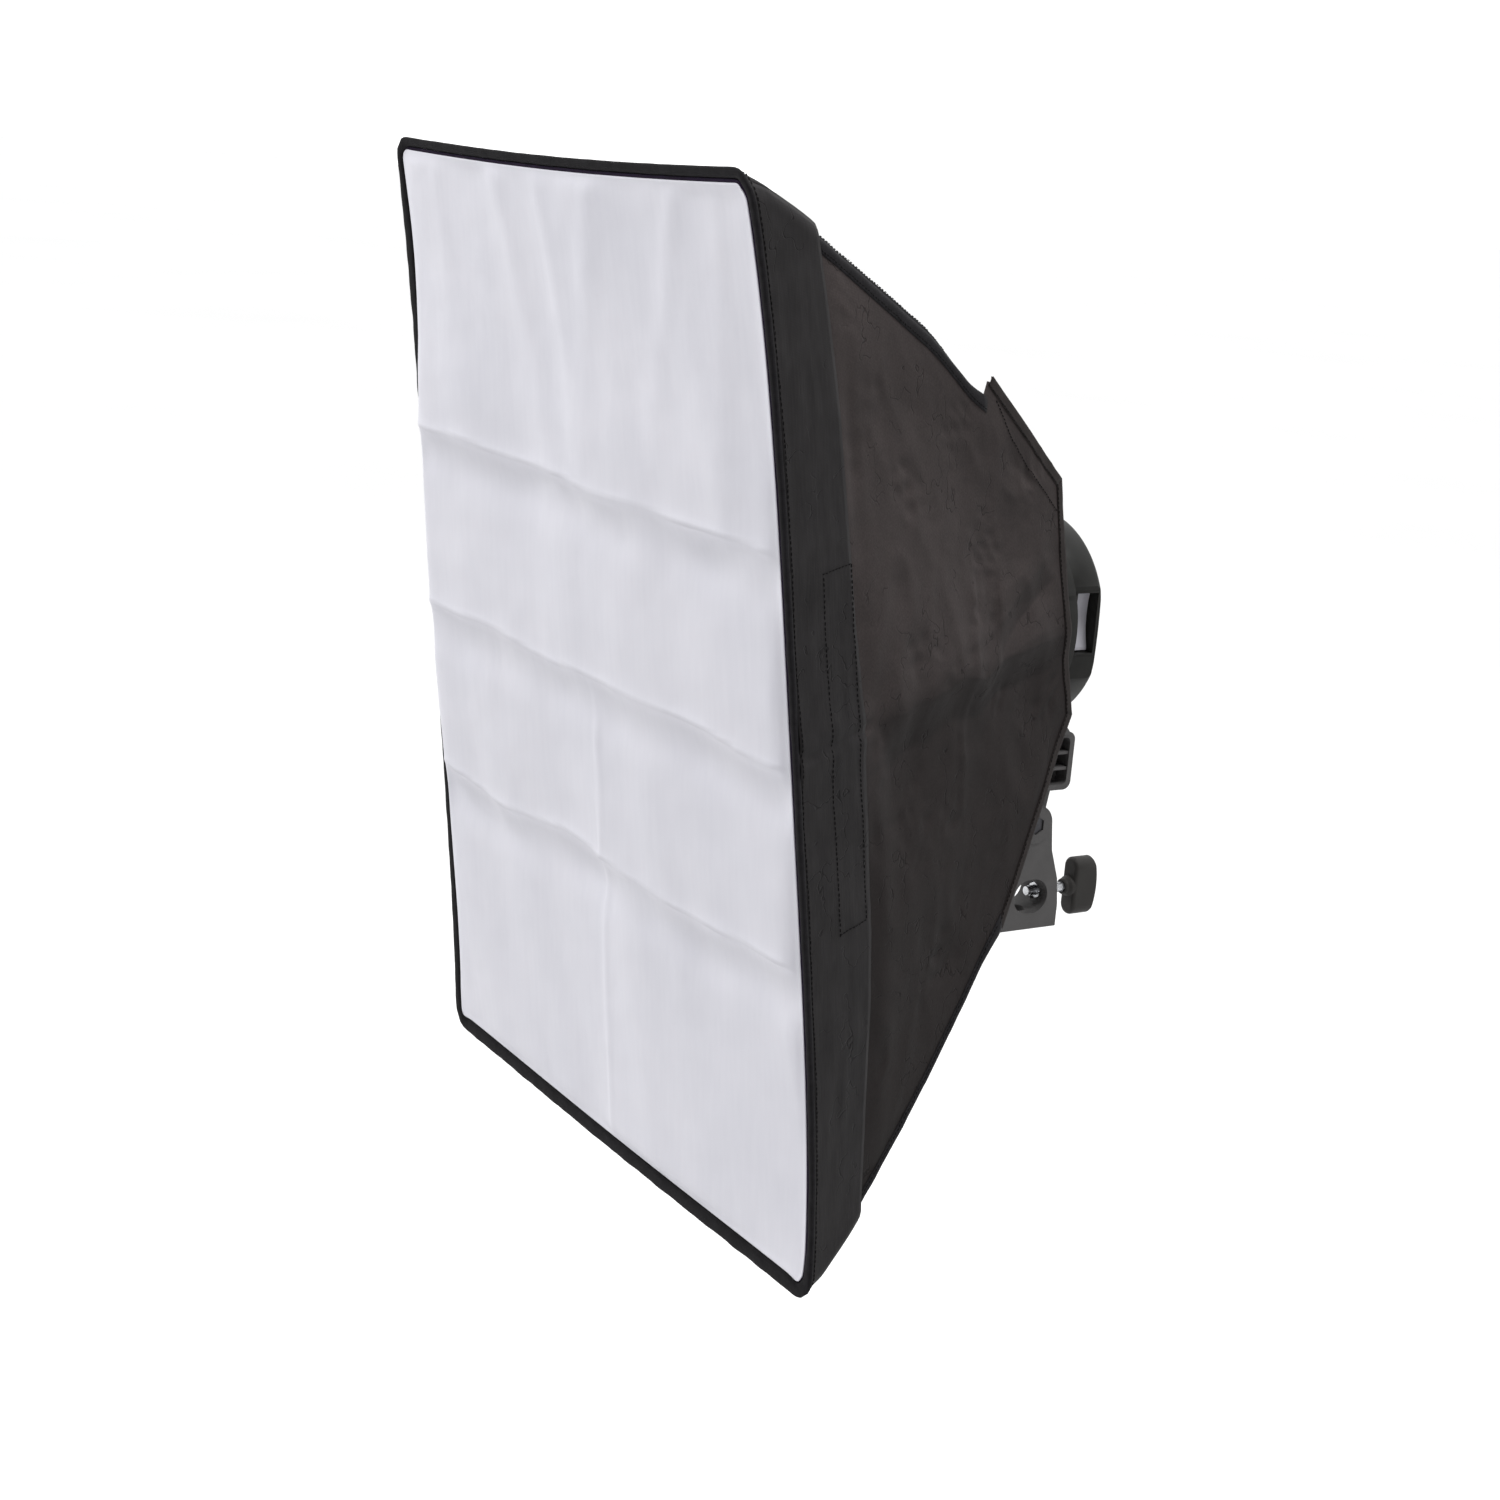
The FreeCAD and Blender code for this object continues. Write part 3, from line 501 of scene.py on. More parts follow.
def vary_roughness(tree, shader, value, rough, span):
    """Roughness follows a pattern in 0..1, over this span about rough."""
    level = maths(tree, "ADD", maths(tree, "MULTIPLY", value, span), rough - span / 2)
    set_inputs(tree, shader, {"Roughness": level})


def weave(tree, vector, axes, period):
    """Warp and weft: two crossing sets of ribs, multiplied into threads."""
    inputs = {"Vector": vector, "Scale": math.pi / 10 / period, "Distortion": 0.0}
    waves = [add_node(tree, "TexWave", inputs, wave_type="BANDS", bands_direction=axis) for axis in axes]
    return maths(tree, "MULTIPLY", *(node.outputs["Fac"] for node in waves))


def multiply(tree, color, shade, share=1.0):
    inputs = {"Fac": share, "Color1": color, "Color2": shade}
    return add_node(tree, "MixRGB", inputs, blend_type="MULTIPLY").outputs["Color"]


def grey_ramp(tree, value, dark, light, low=0.3, high=0.7):
    return ramp(tree, value, (dark,) * 3, (light,) * 3, low, high)


def relief_shade(tree, color, level, reach, dark, light):
    """Painted shade: cloth that turns down is painted darker than cloth that turns up.

    level is the normal's Z at half-way, reach how far to either side the shade changes.
    """
    upright = add_node(tree, "SeparateXYZ", {0: add_node(tree, "NewGeometry").outputs["Normal"]})
    turned = maths(tree, "MULTIPLY", maths(tree, "ADD", upright.outputs["Z"], reach - level), 0.5 / reach)
    return multiply(tree, color, grey_ramp(tree, turned, dark, light, 0.0, 1.0))


def crumple_lines(tree, vector, size, thin, share):
    """Short, thin creases that come and go: 0 on a line, 1 elsewhere."""
    wander = noise_node(tree, vector, size, 2.5, None, 0.6)
    off = maths(tree, "ABSOLUTE", maths(tree, "SUBTRACT", wander, 0.5))
    line = maths(tree, "MINIMUM", maths(tree, "MULTIPLY", off, 1 / thin), 1.0)
    hidden = noise_node(tree, vector, size * 1.3, 2.0, (1.0, 1.3, 0.9))
    hidden = maths(tree, "MULTIPLY", maths(tree, "SUBTRACT", hidden, share), 14.0)
    return maths(tree, "MINIMUM", maths(tree, "MAXIMUM", line, hidden), 1.0)


def painted_lower_shade(tree, color, vector, shade):
    """Painted shade: the lower half of the walls darker, with an uneven upper edge."""
    height = add_node(tree, "SeparateXYZ", {0: vector})
    wander = maths(tree, "MULTIPLY", noise_node(tree, vector, 0.15, 2.0), 0.12)
    level = maths(tree, "ADD", height.outputs["Z"], wander)
    return multiply(tree, color, grey_ramp(tree, level, shade, 1.0, 0.27, 0.36))


def cloth_material(name, dark, light, rough, axes, period=0.0009, streaks=None, mottle=0.012,
                   lower_shade=None, relief=None):
    """Woven nylon. mottle is the size of its patches; relief holds relief_shade's four values for painted shade by
    facing, and adds crumple lines painted darker; lower_shade is the painted shade's darkest share on the lower
    walls.
    """
    material, tree, shader, vector = start_material(
        name, rough, {"Sheen Weight": 0.01, "Sheen Roughness": 0.4, "Specular IOR Level": 0.04})
    threads = weave(tree, vector, axes, period)
    patches = noise_node(tree, vector, mottle, 4.0)
    grain = noise_node(tree, vector, 0.0016, 2.0, streaks)
    color = ramp(tree, patches, dark, light)
    color = multiply(tree, color, grey_ramp(tree, threads, 0.82, 1.0, 0.0, 0.8))
    color = multiply(tree, color, grey_ramp(tree, grain, 0.84, 1.12), 0.8)
    # Painted shade: the lower walls are coloured darker.
    if lower_shade:
        color = painted_lower_shade(tree, color, vector, lower_shade)
    layers = [(patches, 0.35, 0.0010), (grain, 0.35, 0.0003), (threads, 0.25, 0.00018)]
    if relief:
        # Painted shade: cloth darker where it turns down, and darker along the crumple lines, which also bump it.
        color = relief_shade(tree, color, *relief)
        lines = crumple_lines(tree, vector, 0.034, 0.010, 0.44)
        color = multiply(tree, color, grey_ramp(tree, lines, 0.62, 1.0, 0.0, 1.0))
        layers.append((lines, 0.5, 0.0012))
    vary_roughness(tree, shader, patches, rough, 0.16)
    finish(tree, shader, color, layers)
    return material


def plastic_material(name, color, rough, grain_size, grain_depth, coat=0.0, wear=0.25, shine=0.3):
    """Moulded plastic with a fine grain; wear is how much its colour varies."""
    material, tree, shader, vector = start_material(
        name, rough, {"Coat Weight": coat, "Coat Roughness": 0.15, "Specular IOR Level": shine})
    cloud = noise_node(tree, vector, 0.02, 3.0)
    grain = noise_node(tree, vector, grain_size, 2.0)
    light = tuple(min(1.0, c * (1 + wear)) for c in color)
    dark = tuple(c * (1 - wear) for c in color)
    vary_roughness(tree, shader, cloud, rough, 0.12)
    finish(tree, shader, ramp(tree, cloud, dark, light), ((grain, 0.4, grain_depth),))
    return material


def metal_material(name, color, rough, stretch=None):
    """Plated steel, brushed along the axis that stretch shortens."""
    material, tree, shader, vector = start_material(name, rough, {"Metallic": 1.0})
    brushed = noise_node(tree, vector, 0.0012, 3.0, stretch)
    cloud = noise_node(tree, vector, 0.009, 2.0)
    dark = tuple(c * 0.72 for c in color)
    vary_roughness(tree, shader, brushed, rough, 0.2)
    finish(tree, shader, ramp(tree, cloud, dark, color), ((brushed, 0.2, 0.0001),))
    return material


def silver_material():
    """Aluminised lining: a small crumpled diamond quilt."""
    material, tree, shader, vector = start_material("silver_lining", 0.38, {"Metallic": 0.85})
    crumple = noise_node(tree, vector, 0.012, 4.0, None, 0.65)
    cells = add_node(tree, "TexVoronoi", {"Scale": 260.0, "Vector": vector}).outputs["Distance"]
    color = ramp(tree, crumple, (0.56, 0.56, 0.58), (0.82, 0.82, 0.84))
    finish(tree, shader, color, ((crumple, 0.7, 0.002), (cells, 0.3, 0.0006)))
    return material


def diffuser_material():
    """White ripstop, with faint streaks down the weave."""
    material, tree, shader, vector = start_material(
        "diffuser_weave", 0.72, {"Sheen Weight": 0.2, "Sheen Roughness": 0.5, "Specular IOR Level": 0.25})
    threads = weave(tree, vector, ("X", "Z"), 0.0007)
    soft = noise_node(tree, vector, 0.08, 2.0)
    streak = noise_node(tree, vector, 0.004, 3.0, (1.0, 1.0, 0.1))
    base = ramp(tree, soft, (0.585, 0.583, 0.635), (0.625, 0.62, 0.67))
    color = multiply(tree, base, ramp(tree, streak, (0.975, 0.975, 0.98), (1.0, 1.0, 1.0)))
    color = multiply(tree, color, grey_ramp(tree, threads, 0.97, 1.0, 0.0, 0.9))
    # Painted shade: cloth that turns down is painted slightly darker.
    color = relief_shade(tree, color, -0.13, 0.22, 0.90, 1.04)
    finish(tree, shader, color, ((streak, 0.12, 0.0004), (threads, 0.15, 0.0001)))
    return material


def tape_material(name, color):
    """Hook-and-loop tape: a dense pile of tiny loops."""
    material, tree, shader, vector = start_material(name, 0.9, {"Sheen Weight": 0.3})
    cells = add_node(tree, "TexVoronoi", {"Scale": 900.0, "Vector": vector}).outputs["Distance"]
    shade = ramp(tree, cells, tuple(c * 1.8 for c in color), color, 0.1, 0.7)
    finish(tree, shader, shade, ((cells, 0.8, 0.0006),))
    return material


# By the axis that the wall runs along: Z for the sides, X for the top and bottom.
# relief paints shade by facing on the side bands and the panels; lower_shade paints shade on the panels' lower
# half.
BAND = {axis: cloth_material(
    "band_nylon_" + axis, (0.0115, 0.0106, 0.0111), (0.0180, 0.0168, 0.0174), 0.55, ("Y", axis),
    streaks=(1.0, 1.0, 0.12) if axis == "Z" else (0.12, 1.0, 1.0), mottle=0.03,
    relief=(0.05, 0.30, 0.74, 1.30) if axis == "Z" else None) for axis in "ZX"}
PANEL = {axis: cloth_material(
    "panel_nylon_" + axis, (0.0345, 0.0285, 0.0280), (0.0415, 0.0342, 0.0336), 0.66, ("Y", axis),
    mottle=0.022, lower_shade=0.47, relief=(0.05, 0.16, 0.45, 1.0)) for axis in "ZX"}
FLAP_HEM = cloth_material("flap_hem_nylon", (0.0172, 0.0142, 0.0137), (0.0228, 0.0190, 0.0184), 0.66,
                          ("Y", "Z"), mottle=0.010)
BINDING = cloth_material("binding_tape", (0.0095, 0.0090, 0.0100), (0.0150, 0.0142, 0.0158), 0.7,
                         ("Y", "Z"), period=0.0012, mottle=0.006)
EDGING = cloth_material("diffuser_edging", (0.012, 0.007, 0.018), (0.020, 0.012, 0.030), 0.8, ("X", "Z"),
                        period=0.001, mottle=0.006)
THREAD = cloth_material("black_thread", (0.003, 0.003, 0.003), (0.006, 0.006, 0.006), 0.8, ("Y", "Z"),
                        period=0.0005, mottle=0.003)
SILVER = silver_material()
DIFFUSER = diffuser_material()
LOOP_TAPE = tape_material("loop_tape", (0.012, 0.012, 0.012))


def wall_axis(side):
    return "Z" if side in SIDES else "X"


OUTWARD = {"right": ACROSS, "left": -ACROSS, "top": UP, "bottom": -UP}


# ---- bands and panels
BAND_FRONT = -0.0045            # the band's fold, where the binding starts
BAND_FLARE = 0.0040             # its rear edge stands off the ribs by this much
TOP_BILLOW = (0.0065, -0.55, 0.32)      # the top band's: height, place and width as shares of the wall
PANEL_UNDER = 0.006             # the panels start this far in front of the seam, under the band


def wall_slope(side):
    """Length along a wall for each unit of depth."""
    return math.hypot(1.0, half_lengths(side, 0)[1] / APEX)


def make_band(side):
    """Front band, from the front edge to its seam."""
    count = round(2 * wall_reach(side, 0) / GRID)
    rows = []
    for share in spread(0.0, 1.0, 18):
        row = []
        for s in spread(-1, 1, count):
            depth = BAND_FRONT + share * (seam_depth(side, s) - BAND_FRONT)
            lift = BAND_FLARE * smooth(share, 0.0, 1.0) * abs(s) ** 14
            if side == "top":
                height, place, width = TOP_BILLOW
                section = math.sin(math.pi * min(1.0, share * 1.1)) ** 0.6
                lift += height * swell(s - place, width) * section
            row.append(spot_on(side, s, depth, lift))
        rows.append(row)
    band = make_sheet("front_band_" + side, rows, OUTWARD[side], [BAND[wall_axis(side)], SILVER])
    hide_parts("band_" + side)
    width = (seam_depth(side, 0) - BAND_FRONT) * wall_slope(side)


def flap_edge(end):
    """A side flap's corners at the rib's end and at the rear, above (end 1) or below (-1)."""
    out, beyond = FLAP_EAR if end > 0 else FLAP_FOOT
    depth = RIB_END + beyond
    return (end * (FRONT_H / 2 * taper(depth) + out), depth), FLAP_TOP if end > 0 else FLAP_BOTTOM


def panel_edges(side, end):
    """Stations along one long edge of a panel, end is 1 or -1: (along, depth) pairs."""
    start = seam_depth(side, end) - PANEL_UNDER
    points = [(end * wall_reach(side, depth), depth) for depth in spread(start, RIB_END, 46)]
    if side in SIDES:
        first, corner = flap_edge(end)
        points += zip(spread(first[0], corner[0], 26), spread(first[1], corner[1], 26))
    else:
        reaches = spread(wall_reach(side, RIB_END), wall_reach(side, VENT_DEPTH) * VENT_SHARE, 5)
        depths = spread(RIB_END, VENT_DEPTH, 5)
        points += [(end * reach, depth) for reach, depth in zip(reaches[1:], depths[1:])]
    return points


def panel_point(upper, lower, share, side):
    """A place between a panel's long edges, below the band where they overlap."""
    along = lower[0] + (upper[0] - lower[0]) * share
    depth = lower[1] + (upper[1] - lower[1]) * share
    seam = seam_depth(side, along / wall_reach(side, depth))
    return cloth(side, along, depth, -BAND_STEP * (1 - smooth(depth, seam, seam + STEP_RUN)))


def make_panel(side):
    upper, lower = panel_edges(side, 1), panel_edges(side, -1)
    count = round(2 * wall_reach(side, 0.07) / GRID)
    rows = [[panel_point(a, b, j / count, side) for j in range(count + 1)] for a, b in zip(upper, lower)]
    panel = make_sheet("side_panel_" + side if side in SIDES else "panel_cloth_" + side, rows,
                       OUTWARD[side], [PANEL[wall_axis(side)], SILVER])
    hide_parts("panel_" + side)


# ---- rib bindings and hems
BINDING_SIDE = 0.013            # its width on the side panel, and on the top or bottom
BINDING_TOP = 0.006
RIB_STOP = RIB_END - 0.008      # the stitching stops short of the rib's end
HEM_W = 0.0075                  # flap and vent hems
# (along, depth) points of the tuck sewn across a flap's upper corner.
TUCK = [(0.181, 0.2505), (0.155, 0.267), (0.129, 0.290), (0.1075, 0.3125), (0.089, 0.3315)]
FLAP_MIDDLE = Vector((0.02, 0.27))
TAPE_ENDS = (-0.112, 0.118)     # the rectangle sewn round the tape
TAPE_EDGES = (STRIP_FRONT - 0.002, STRIP_FRONT + 0.023)


def rib_path(side, end, back_off):
    """Points along a rib, back_off down the wall from its middle."""
    return [cloth(side, end * (wall_reach(side, depth) - back_off), depth, 0.0013)
            for depth in stations(seam_depth(side, end) + 0.003, RIB_STOP, 0.004)]


def make_rib_binding(side, end, over_side, over_end):
    """Bound seam allowance over a rib, wider on the side panel than on the top or bottom."""
    rows = []
    last = RIB_STOP if (side, over_side) == ("right", "top") else RIB_END
    for depth in stations(seam_depth(side, end) + 0.002, last, 0.004):
        row = []
        puff = 0.00025 * wave(depth / 0.012, end, NOISE_SHIFT[over_side])
        for share in spread(1.0, 0.0, 8):
            rise = 0.0006 + 0.0011 * math.sin(math.pi * min(1.0, share * 1.15)) * (1 - share * 0.4)
            row.append(cloth(side, end * (wall_reach(side, depth) - BINDING_SIDE * share),
                             depth, rise + puff))
        for share in spread(0.2, 1.0, 4):
            rise = 0.0007 + 0.0008 * (1 - share)
            row.append(cloth(over_side, over_end * (wall_reach(over_side, depth) - BINDING_TOP * share),
                             depth, rise + puff))
        rows.append(row)
    make_sheet("rib_binding_%s_%s" % (over_side, side), rows, OUTWARD[side] + OUTWARD[over_side],
               [BINDING], thickness=0.0009)


def fine_line(points, step=0.004):
    """Adds points along a polyline so that it follows the cloth."""
    result = [points[0]]
    for (a, b), (c, d) in zip(points, points[1:]):
        for share in stations(0.0, 1.0, step / max(step, math.hypot(c - a, d - b)))[1:]:
            result.append((a + (c - a) * share, b + (d - b) * share))
    return result


def moved_in(points, gap):
    """The flap's outline moved towards its middle."""
    result = []
    for index, (along, depth) in enumerate(points):
        runs = []
        if index > 0:
            runs.append((points[index - 1], points[index]))
        if index < len(points) - 1:
            runs.append((points[index], points[index + 1]))
        shift = Vector((0, 0))
        for (a, b), (c, d) in runs:
            normal = Vector((-(d - b), c - a)).normalized()
            if normal.dot(FLAP_MIDDLE - Vector((a, b))) < 0:
                normal = -normal
            shift += normal
        if len(runs) == 2:
            shift *= 2 / shift.length_squared
        result.append((along + shift.x * gap, depth + shift.y * gap))
    return result


def make_hem(name, side, outer, inner, lift, drop, material):
    """Folded hem between two (along, depth) lines. It is lift high outside, lower inside by drop."""
    rows = []
    for (along, depth), (far_along, far_depth) in zip(outer, inner):
        rows.append([cloth(side, along + (far_along - along) * share, depth + (far_depth - depth) * share,
                           lift - drop * share) for share in spread(0.0, 1.0, 5)])
    make_sheet(name, rows, OUTWARD[side], [material])


def make_seams():
    """Rib bindings, flap and vent hems, and every line of stitching on the walls."""
    verts, faces = [], []

    def stitch_on(side, line, lift):
        stitch_line(verts, faces, [cloth(side, along, depth, lift) for along, depth in line])

    for side in SIDES:
        for end, over_side in ((1, "top"), (-1, "bottom")):
            over_end = 1 if side == "right" else -1
            make_rib_binding(side, end, over_side, over_end)
            stitch_line(verts, faces, rib_path(side, end, BINDING_SIDE - 0.002))
            stitch_line(verts, faces, rib_path(over_side, over_end, BINDING_TOP - 0.0018))
        outline = [*flap_edge(1), *flap_edge(-1)[::-1]]
        inside = moved_in(outline, HEM_W)
        for index, part in enumerate(("upper", "rear", "lower")):
            outer = fine_line(outline[index:index + 2])
            shares = spread(0.0, 1.0, len(outer) - 1)
            (a, b), (c, d) = inside[index:index + 2]
            inner = [(a + (c - a) * share, b + (d - b) * share) for share in shares]
            make_hem("flap_hem_%s_%s" % (part, side), side, outer, inner, 0.0010, 0.0003, FLAP_HEM)
        stitch_on(side, fine_line(moved_in(outline, HEM_W - 0.0006)), 0.0009)
        stitch_on(side, fine_line(TUCK), 0.0004)
    for side in ("top", "bottom"):
        half = wall_reach(side, VENT_DEPTH) * VENT_SHARE
        line = fine_line([(-half, VENT_DEPTH), (half, VENT_DEPTH)])
        inner = [(along, depth - HEM_W) for along, depth in line]
        make_hem("vent_hem_" + side, side, line, inner, 0.0009, 0.00045, PANEL["X"])
        stitch_on(side, [(along, depth - HEM_W + 0.002) for along, depth in line], 0.0013)
    (low_end, high_end), (near, far) = TAPE_ENDS, TAPE_EDGES
    box = fine_line([(low_end, near), (high_end, near), (high_end, far), (low_end, far), (low_end, near)])
    for side in WALLS:
        stitch_on(side, box, 0.0003)
    make_object("stitching", verts, faces, [THREAD])


# ---- front binding
HEM_PROFILE = [(-0.02, -0.0040), (-0.09, -0.0055), (0.03, -0.0070), (0.25, -0.0077), (0.60, -0.0078),
               (0.90, -0.0073), (1.00, -0.0058), (0.92, -0.0042), (0.60, -0.0034), (0.20, -0.0034)]
HEM_WIDTH = {"top": 0.0056, "bottom": 0.0120, "left": 0.0075, "right": 0.0056}
# The left hem is uneven: places along it, and its width there as a share.
LEFT_HEM = ((-1, 1.35), (-0.7, 1.35), (-0.3, 1.0), (0.35, 1.0), (0.6, 1.5), (1, 1.5))
HEM_CLEAR = 1.03                # the diffuser clears the hem by this share of its width


def along_hem(values, side, s):
    """A side's value, eased into its neighbour's towards the corners."""
    if side in SIDES:
        neighbour = "top" if s > 0 else "bottom"
    else:
        neighbour = "right" if s > 0 else "left"
    return values[side] + (values[neighbour] - values[side]) * 0.5 * smooth(abs(s), 0.9, 1.0)


def hem_width(side, s):
    width = along_hem(HEM_WIDTH, side, s)
    if side == "left":
        width *= 1 + (between(s, LEFT_HEM) - 1) * (1 - smooth(abs(s), 0.8, 1.0))
    return width


def front_loop(step):
    """Stops round the front edge: (side, share along it)."""
    stops = []
    for side in WALLS:
        shares = stations(-1.0, 1.0, step / wall_reach(side, 0))[:-1]
        forward = side in ("right", "bottom")
        stops += [(side, s if forward else -s) for s in shares]
    return stops


def make_binding():
    profile = curve(HEM_PROFILE, 3)
    rings = []
    for number, (side, s) in enumerate(front_loop(0.004)):
        puff = 1 + 0.06 * wave(number * 0.31, 4.2, 1.7)
        width = hem_width(side, s) * puff
        rings.append([cloth(side, s * wall_reach(side, 0), depth * puff, -share * width, True)
                      for share, depth in profile])
    hem = make_sweep("front_binding", rings, [BINDING])
    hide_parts("hem_top", "hem_bottom", "hem_left", "hem_right")
    verts, faces = [], []
    line = [cloth(side, s * wall_reach(side, 0), -0.0026, 0.0003) for side, s in front_loop(0.004)]
    stitch_line(verts, faces, line + line[:1])
    make_object("binding_stitching", verts, faces, [THREAD])


# ---- diffuser
DIFFUSER_GAP = {"top": 0.0030, "bottom": 0.0006, "left": 0.0006, "right": 0.0026}    # from the hem
DIFFUSER_DEPTH = -0.0064
CREASES = (0.300, 0.490, 0.680)   # fold lines, as shares of the height from the top
# The cloth stands forward beside the left edge: places up it, height.
LEFT_BILLOW = ((-1, 0.0), (-0.85, 0.002), (-0.45, 0.0050), (-0.1, 0.009), (0.4, 0.009),
               (0.75, 0.0015), (1, 0.0))
# Soft pleats hanging from the top edge: place, lean, width, reach, height.
PLEATS = ((0.16, 0.35, 0.010, 0.55, 0.0010), (0.05, 0.25, 0.012, 0.50, 0.0011),
          (-0.10, -0.30, 0.010, 0.50, 0.0011), (-0.03, -0.16, 0.007, 0.35, 0.0008),
          (0.205, 0.1, 0.009, 0.60, 0.0008), (-0.19, -0.10, 0.008, 0.3, 0.0007))


def ridge(gap, width):
    """A fold line's section: a sharp crest that falls off faster below than above."""
    return math.exp(-abs(gap) / (width if gap > 0 else width * 0.45))


def diffuser_height(u, v):
    """How far the cloth stands forward of its edges, for u, v in -1..1."""
    inside = (1 - u * u) ** 0.5 * (1 - v * v) ** 0.5
    fade = smooth(1 - abs(u), 0.0, 0.10) * smooth(1 - abs(v), 0.0, 0.06)
    x, z = u * FRONT_W / 2, v * FRONT_H / 2
    height = 0.0040 * inside
    height += 0.0048 * wave(x / 0.13, z / 0.2, 3.1)
    height += 0.0022 * wave((x + 0.25 * z) / 0.045, z / 0.18, 8.4)
    height += 0.0003 * wave(x / 0.02, z / 0.02, 5.0)
    for number, share in enumerate(CREASES):
        line = FRONT_H / 2 - share * FRONT_H
        line += 0.008 * wave(x / 0.10, number * 7.7, 2.0) - 0.004 * u
        gap = z - line
        strength = 0.8 + 0.6 * wave(x / 0.06, number * 3.1, 6.0)
        relief = 0.0034 * ridge(gap, 0.009) + 0.0014 * ridge(gap, 0.003)
        relief += 0.0020 * swell(gap - 0.035, 0.03) - 0.0042 * swell(gap + 0.022, 0.018)
        height += strength * relief
    upright = x - 0.010 * wave(z / 0.15, 9.0, 1.0)
    height += 0.0016 * ridge(upright, 0.006) * smooth(-v, -0.1, 0.15)
    for place, lean, width, reach, depth in PLEATS:
        drop = FRONT_H / 2 - z
        gap = x - (place - lean * drop)
        hang = 1 - smooth(drop, 0.05, reach * FRONT_H)
        height += depth * swell(gap, width + 0.04 * drop) * hang
    from_left = (1 + u) * FRONT_W / 2
    billow = between(v, LEFT_BILLOW) * (1 - math.exp(-from_left / 0.005)) * swell(from_left, 0.12)
    return height * fade + billow


def diffuser_edge(side, s, depth=DIFFUSER_DEPTH, extra=0.0):
    inset = hem_width(side, s) * HEM_CLEAR + along_hem(DIFFUSER_GAP, side, s) + extra
    return spot_on(side, s, depth, -inset, True)


def make_diffuser():
    """The cloth spans its four edges (a Coons patch) and stands forward of them."""
    columns = spread(-1, 1, 140)
    tops = [diffuser_edge("top", u) for u in columns]
    bottoms = [diffuser_edge("bottom", u) for u in columns]
    rows = []
    for v in spread(-1, 1, 250):
        left, right, up = diffuser_edge("left", v), diffuser_edge("right", v), (1 + v) / 2
        row = []
        for u, top, bottom in zip(columns, tops, bottoms):
            over = (1 + u) / 2
            corners = ((bottoms[0] * (1 - over) + bottoms[-1] * over) * (1 - up)
                       + (tops[0] * (1 - over) + tops[-1] * over) * up)
            spot = left * (1 - over) + right * over + bottom * (1 - up) + top * up - corners
            row.append(spot + AHEAD * diffuser_height(u, v))
        rows.append(row)
    sheet = make_sheet("diffuser_cloth", rows, AHEAD, [DIFFUSER], "diffuser", 0.0005)
    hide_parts("diffuser")


def make_skirt():
    """The diffuser's dark edging, folded back inside the bands."""
    rows = []
    stops = front_loop(0.004)
    for behind, extra in ((0.0020, 0.0006), (0.0009, -0.0002)):
        rows.append([diffuser_edge(side, s, DIFFUSER_DEPTH + behind, extra) for side, s in stops])
    for depth, gap in ((DIFFUSER_DEPTH + 0.0006, 0.0006), (DIFFUSER_DEPTH + 0.0012, 0.0004),
                       (-0.0010, 0.0004)):
        rows.append([spot_on(side, s, depth, -hem_width(side, s) * HEM_CLEAR - gap, True)
                     for side, s in stops])
    for depth, inset in ((0.012, 0.0076), (0.020, 0.0058), (0.030, 0.0044)):
        rows.append([spot_on(side, s, depth, -inset, True) for side, s in stops])
    rows = [row + row[:1] for row in rows]
    verts = [point for row in rows for point in row]
    faces = grid_faces(len(rows), len(rows[0]))
    edging = make_object("diffuser_edging", verts, faces, [EDGING], "diffuser")
    weld = edging.modifiers.new("weld", "WELD")
    weld.merge_threshold = 0.00002
    solid = edging.modifiers.new("thickness", "SOLIDIFY")
    solid.thickness = 0.0006
    solid.offset = 0


def tape_rows(side, inset, shrink=0.0):
    """The tape's place inside a band. It stays in front of the seam."""
    half, first = STRIP_L / 2 - shrink, STRIP_FRONT - 0.004
    rows = []
    for share in spread(0.0, 1.0, 8):
        row = []
        for along in stations(-half, half, 0.004):
            last = min(STRIP_FRONT + STRIP_W, seam_depth(side, along / wall_reach(side, 0.04)) - 0.002)
            row.append(cloth(side, along, first + (last - first) * share, -inset))
        rows.append(row)
    return rows


def make_tapes():
    for side in WALLS:
        loop = make_sheet("loop_tape_" + side, tape_rows(side, 0.0016), OUTWARD[side], [LOOP_TAPE],
                          thickness=0.0010)
        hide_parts("loop_strip_" + side)
    tabs = [make_sheet("hook_tab_" + side, tape_rows(side, 0.0030, 0.003), OUTWARD[side], [LOOP_TAPE],
                       body="diffuser", thickness=0.0008) for side in WALLS]
    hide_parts("hook_tabs")


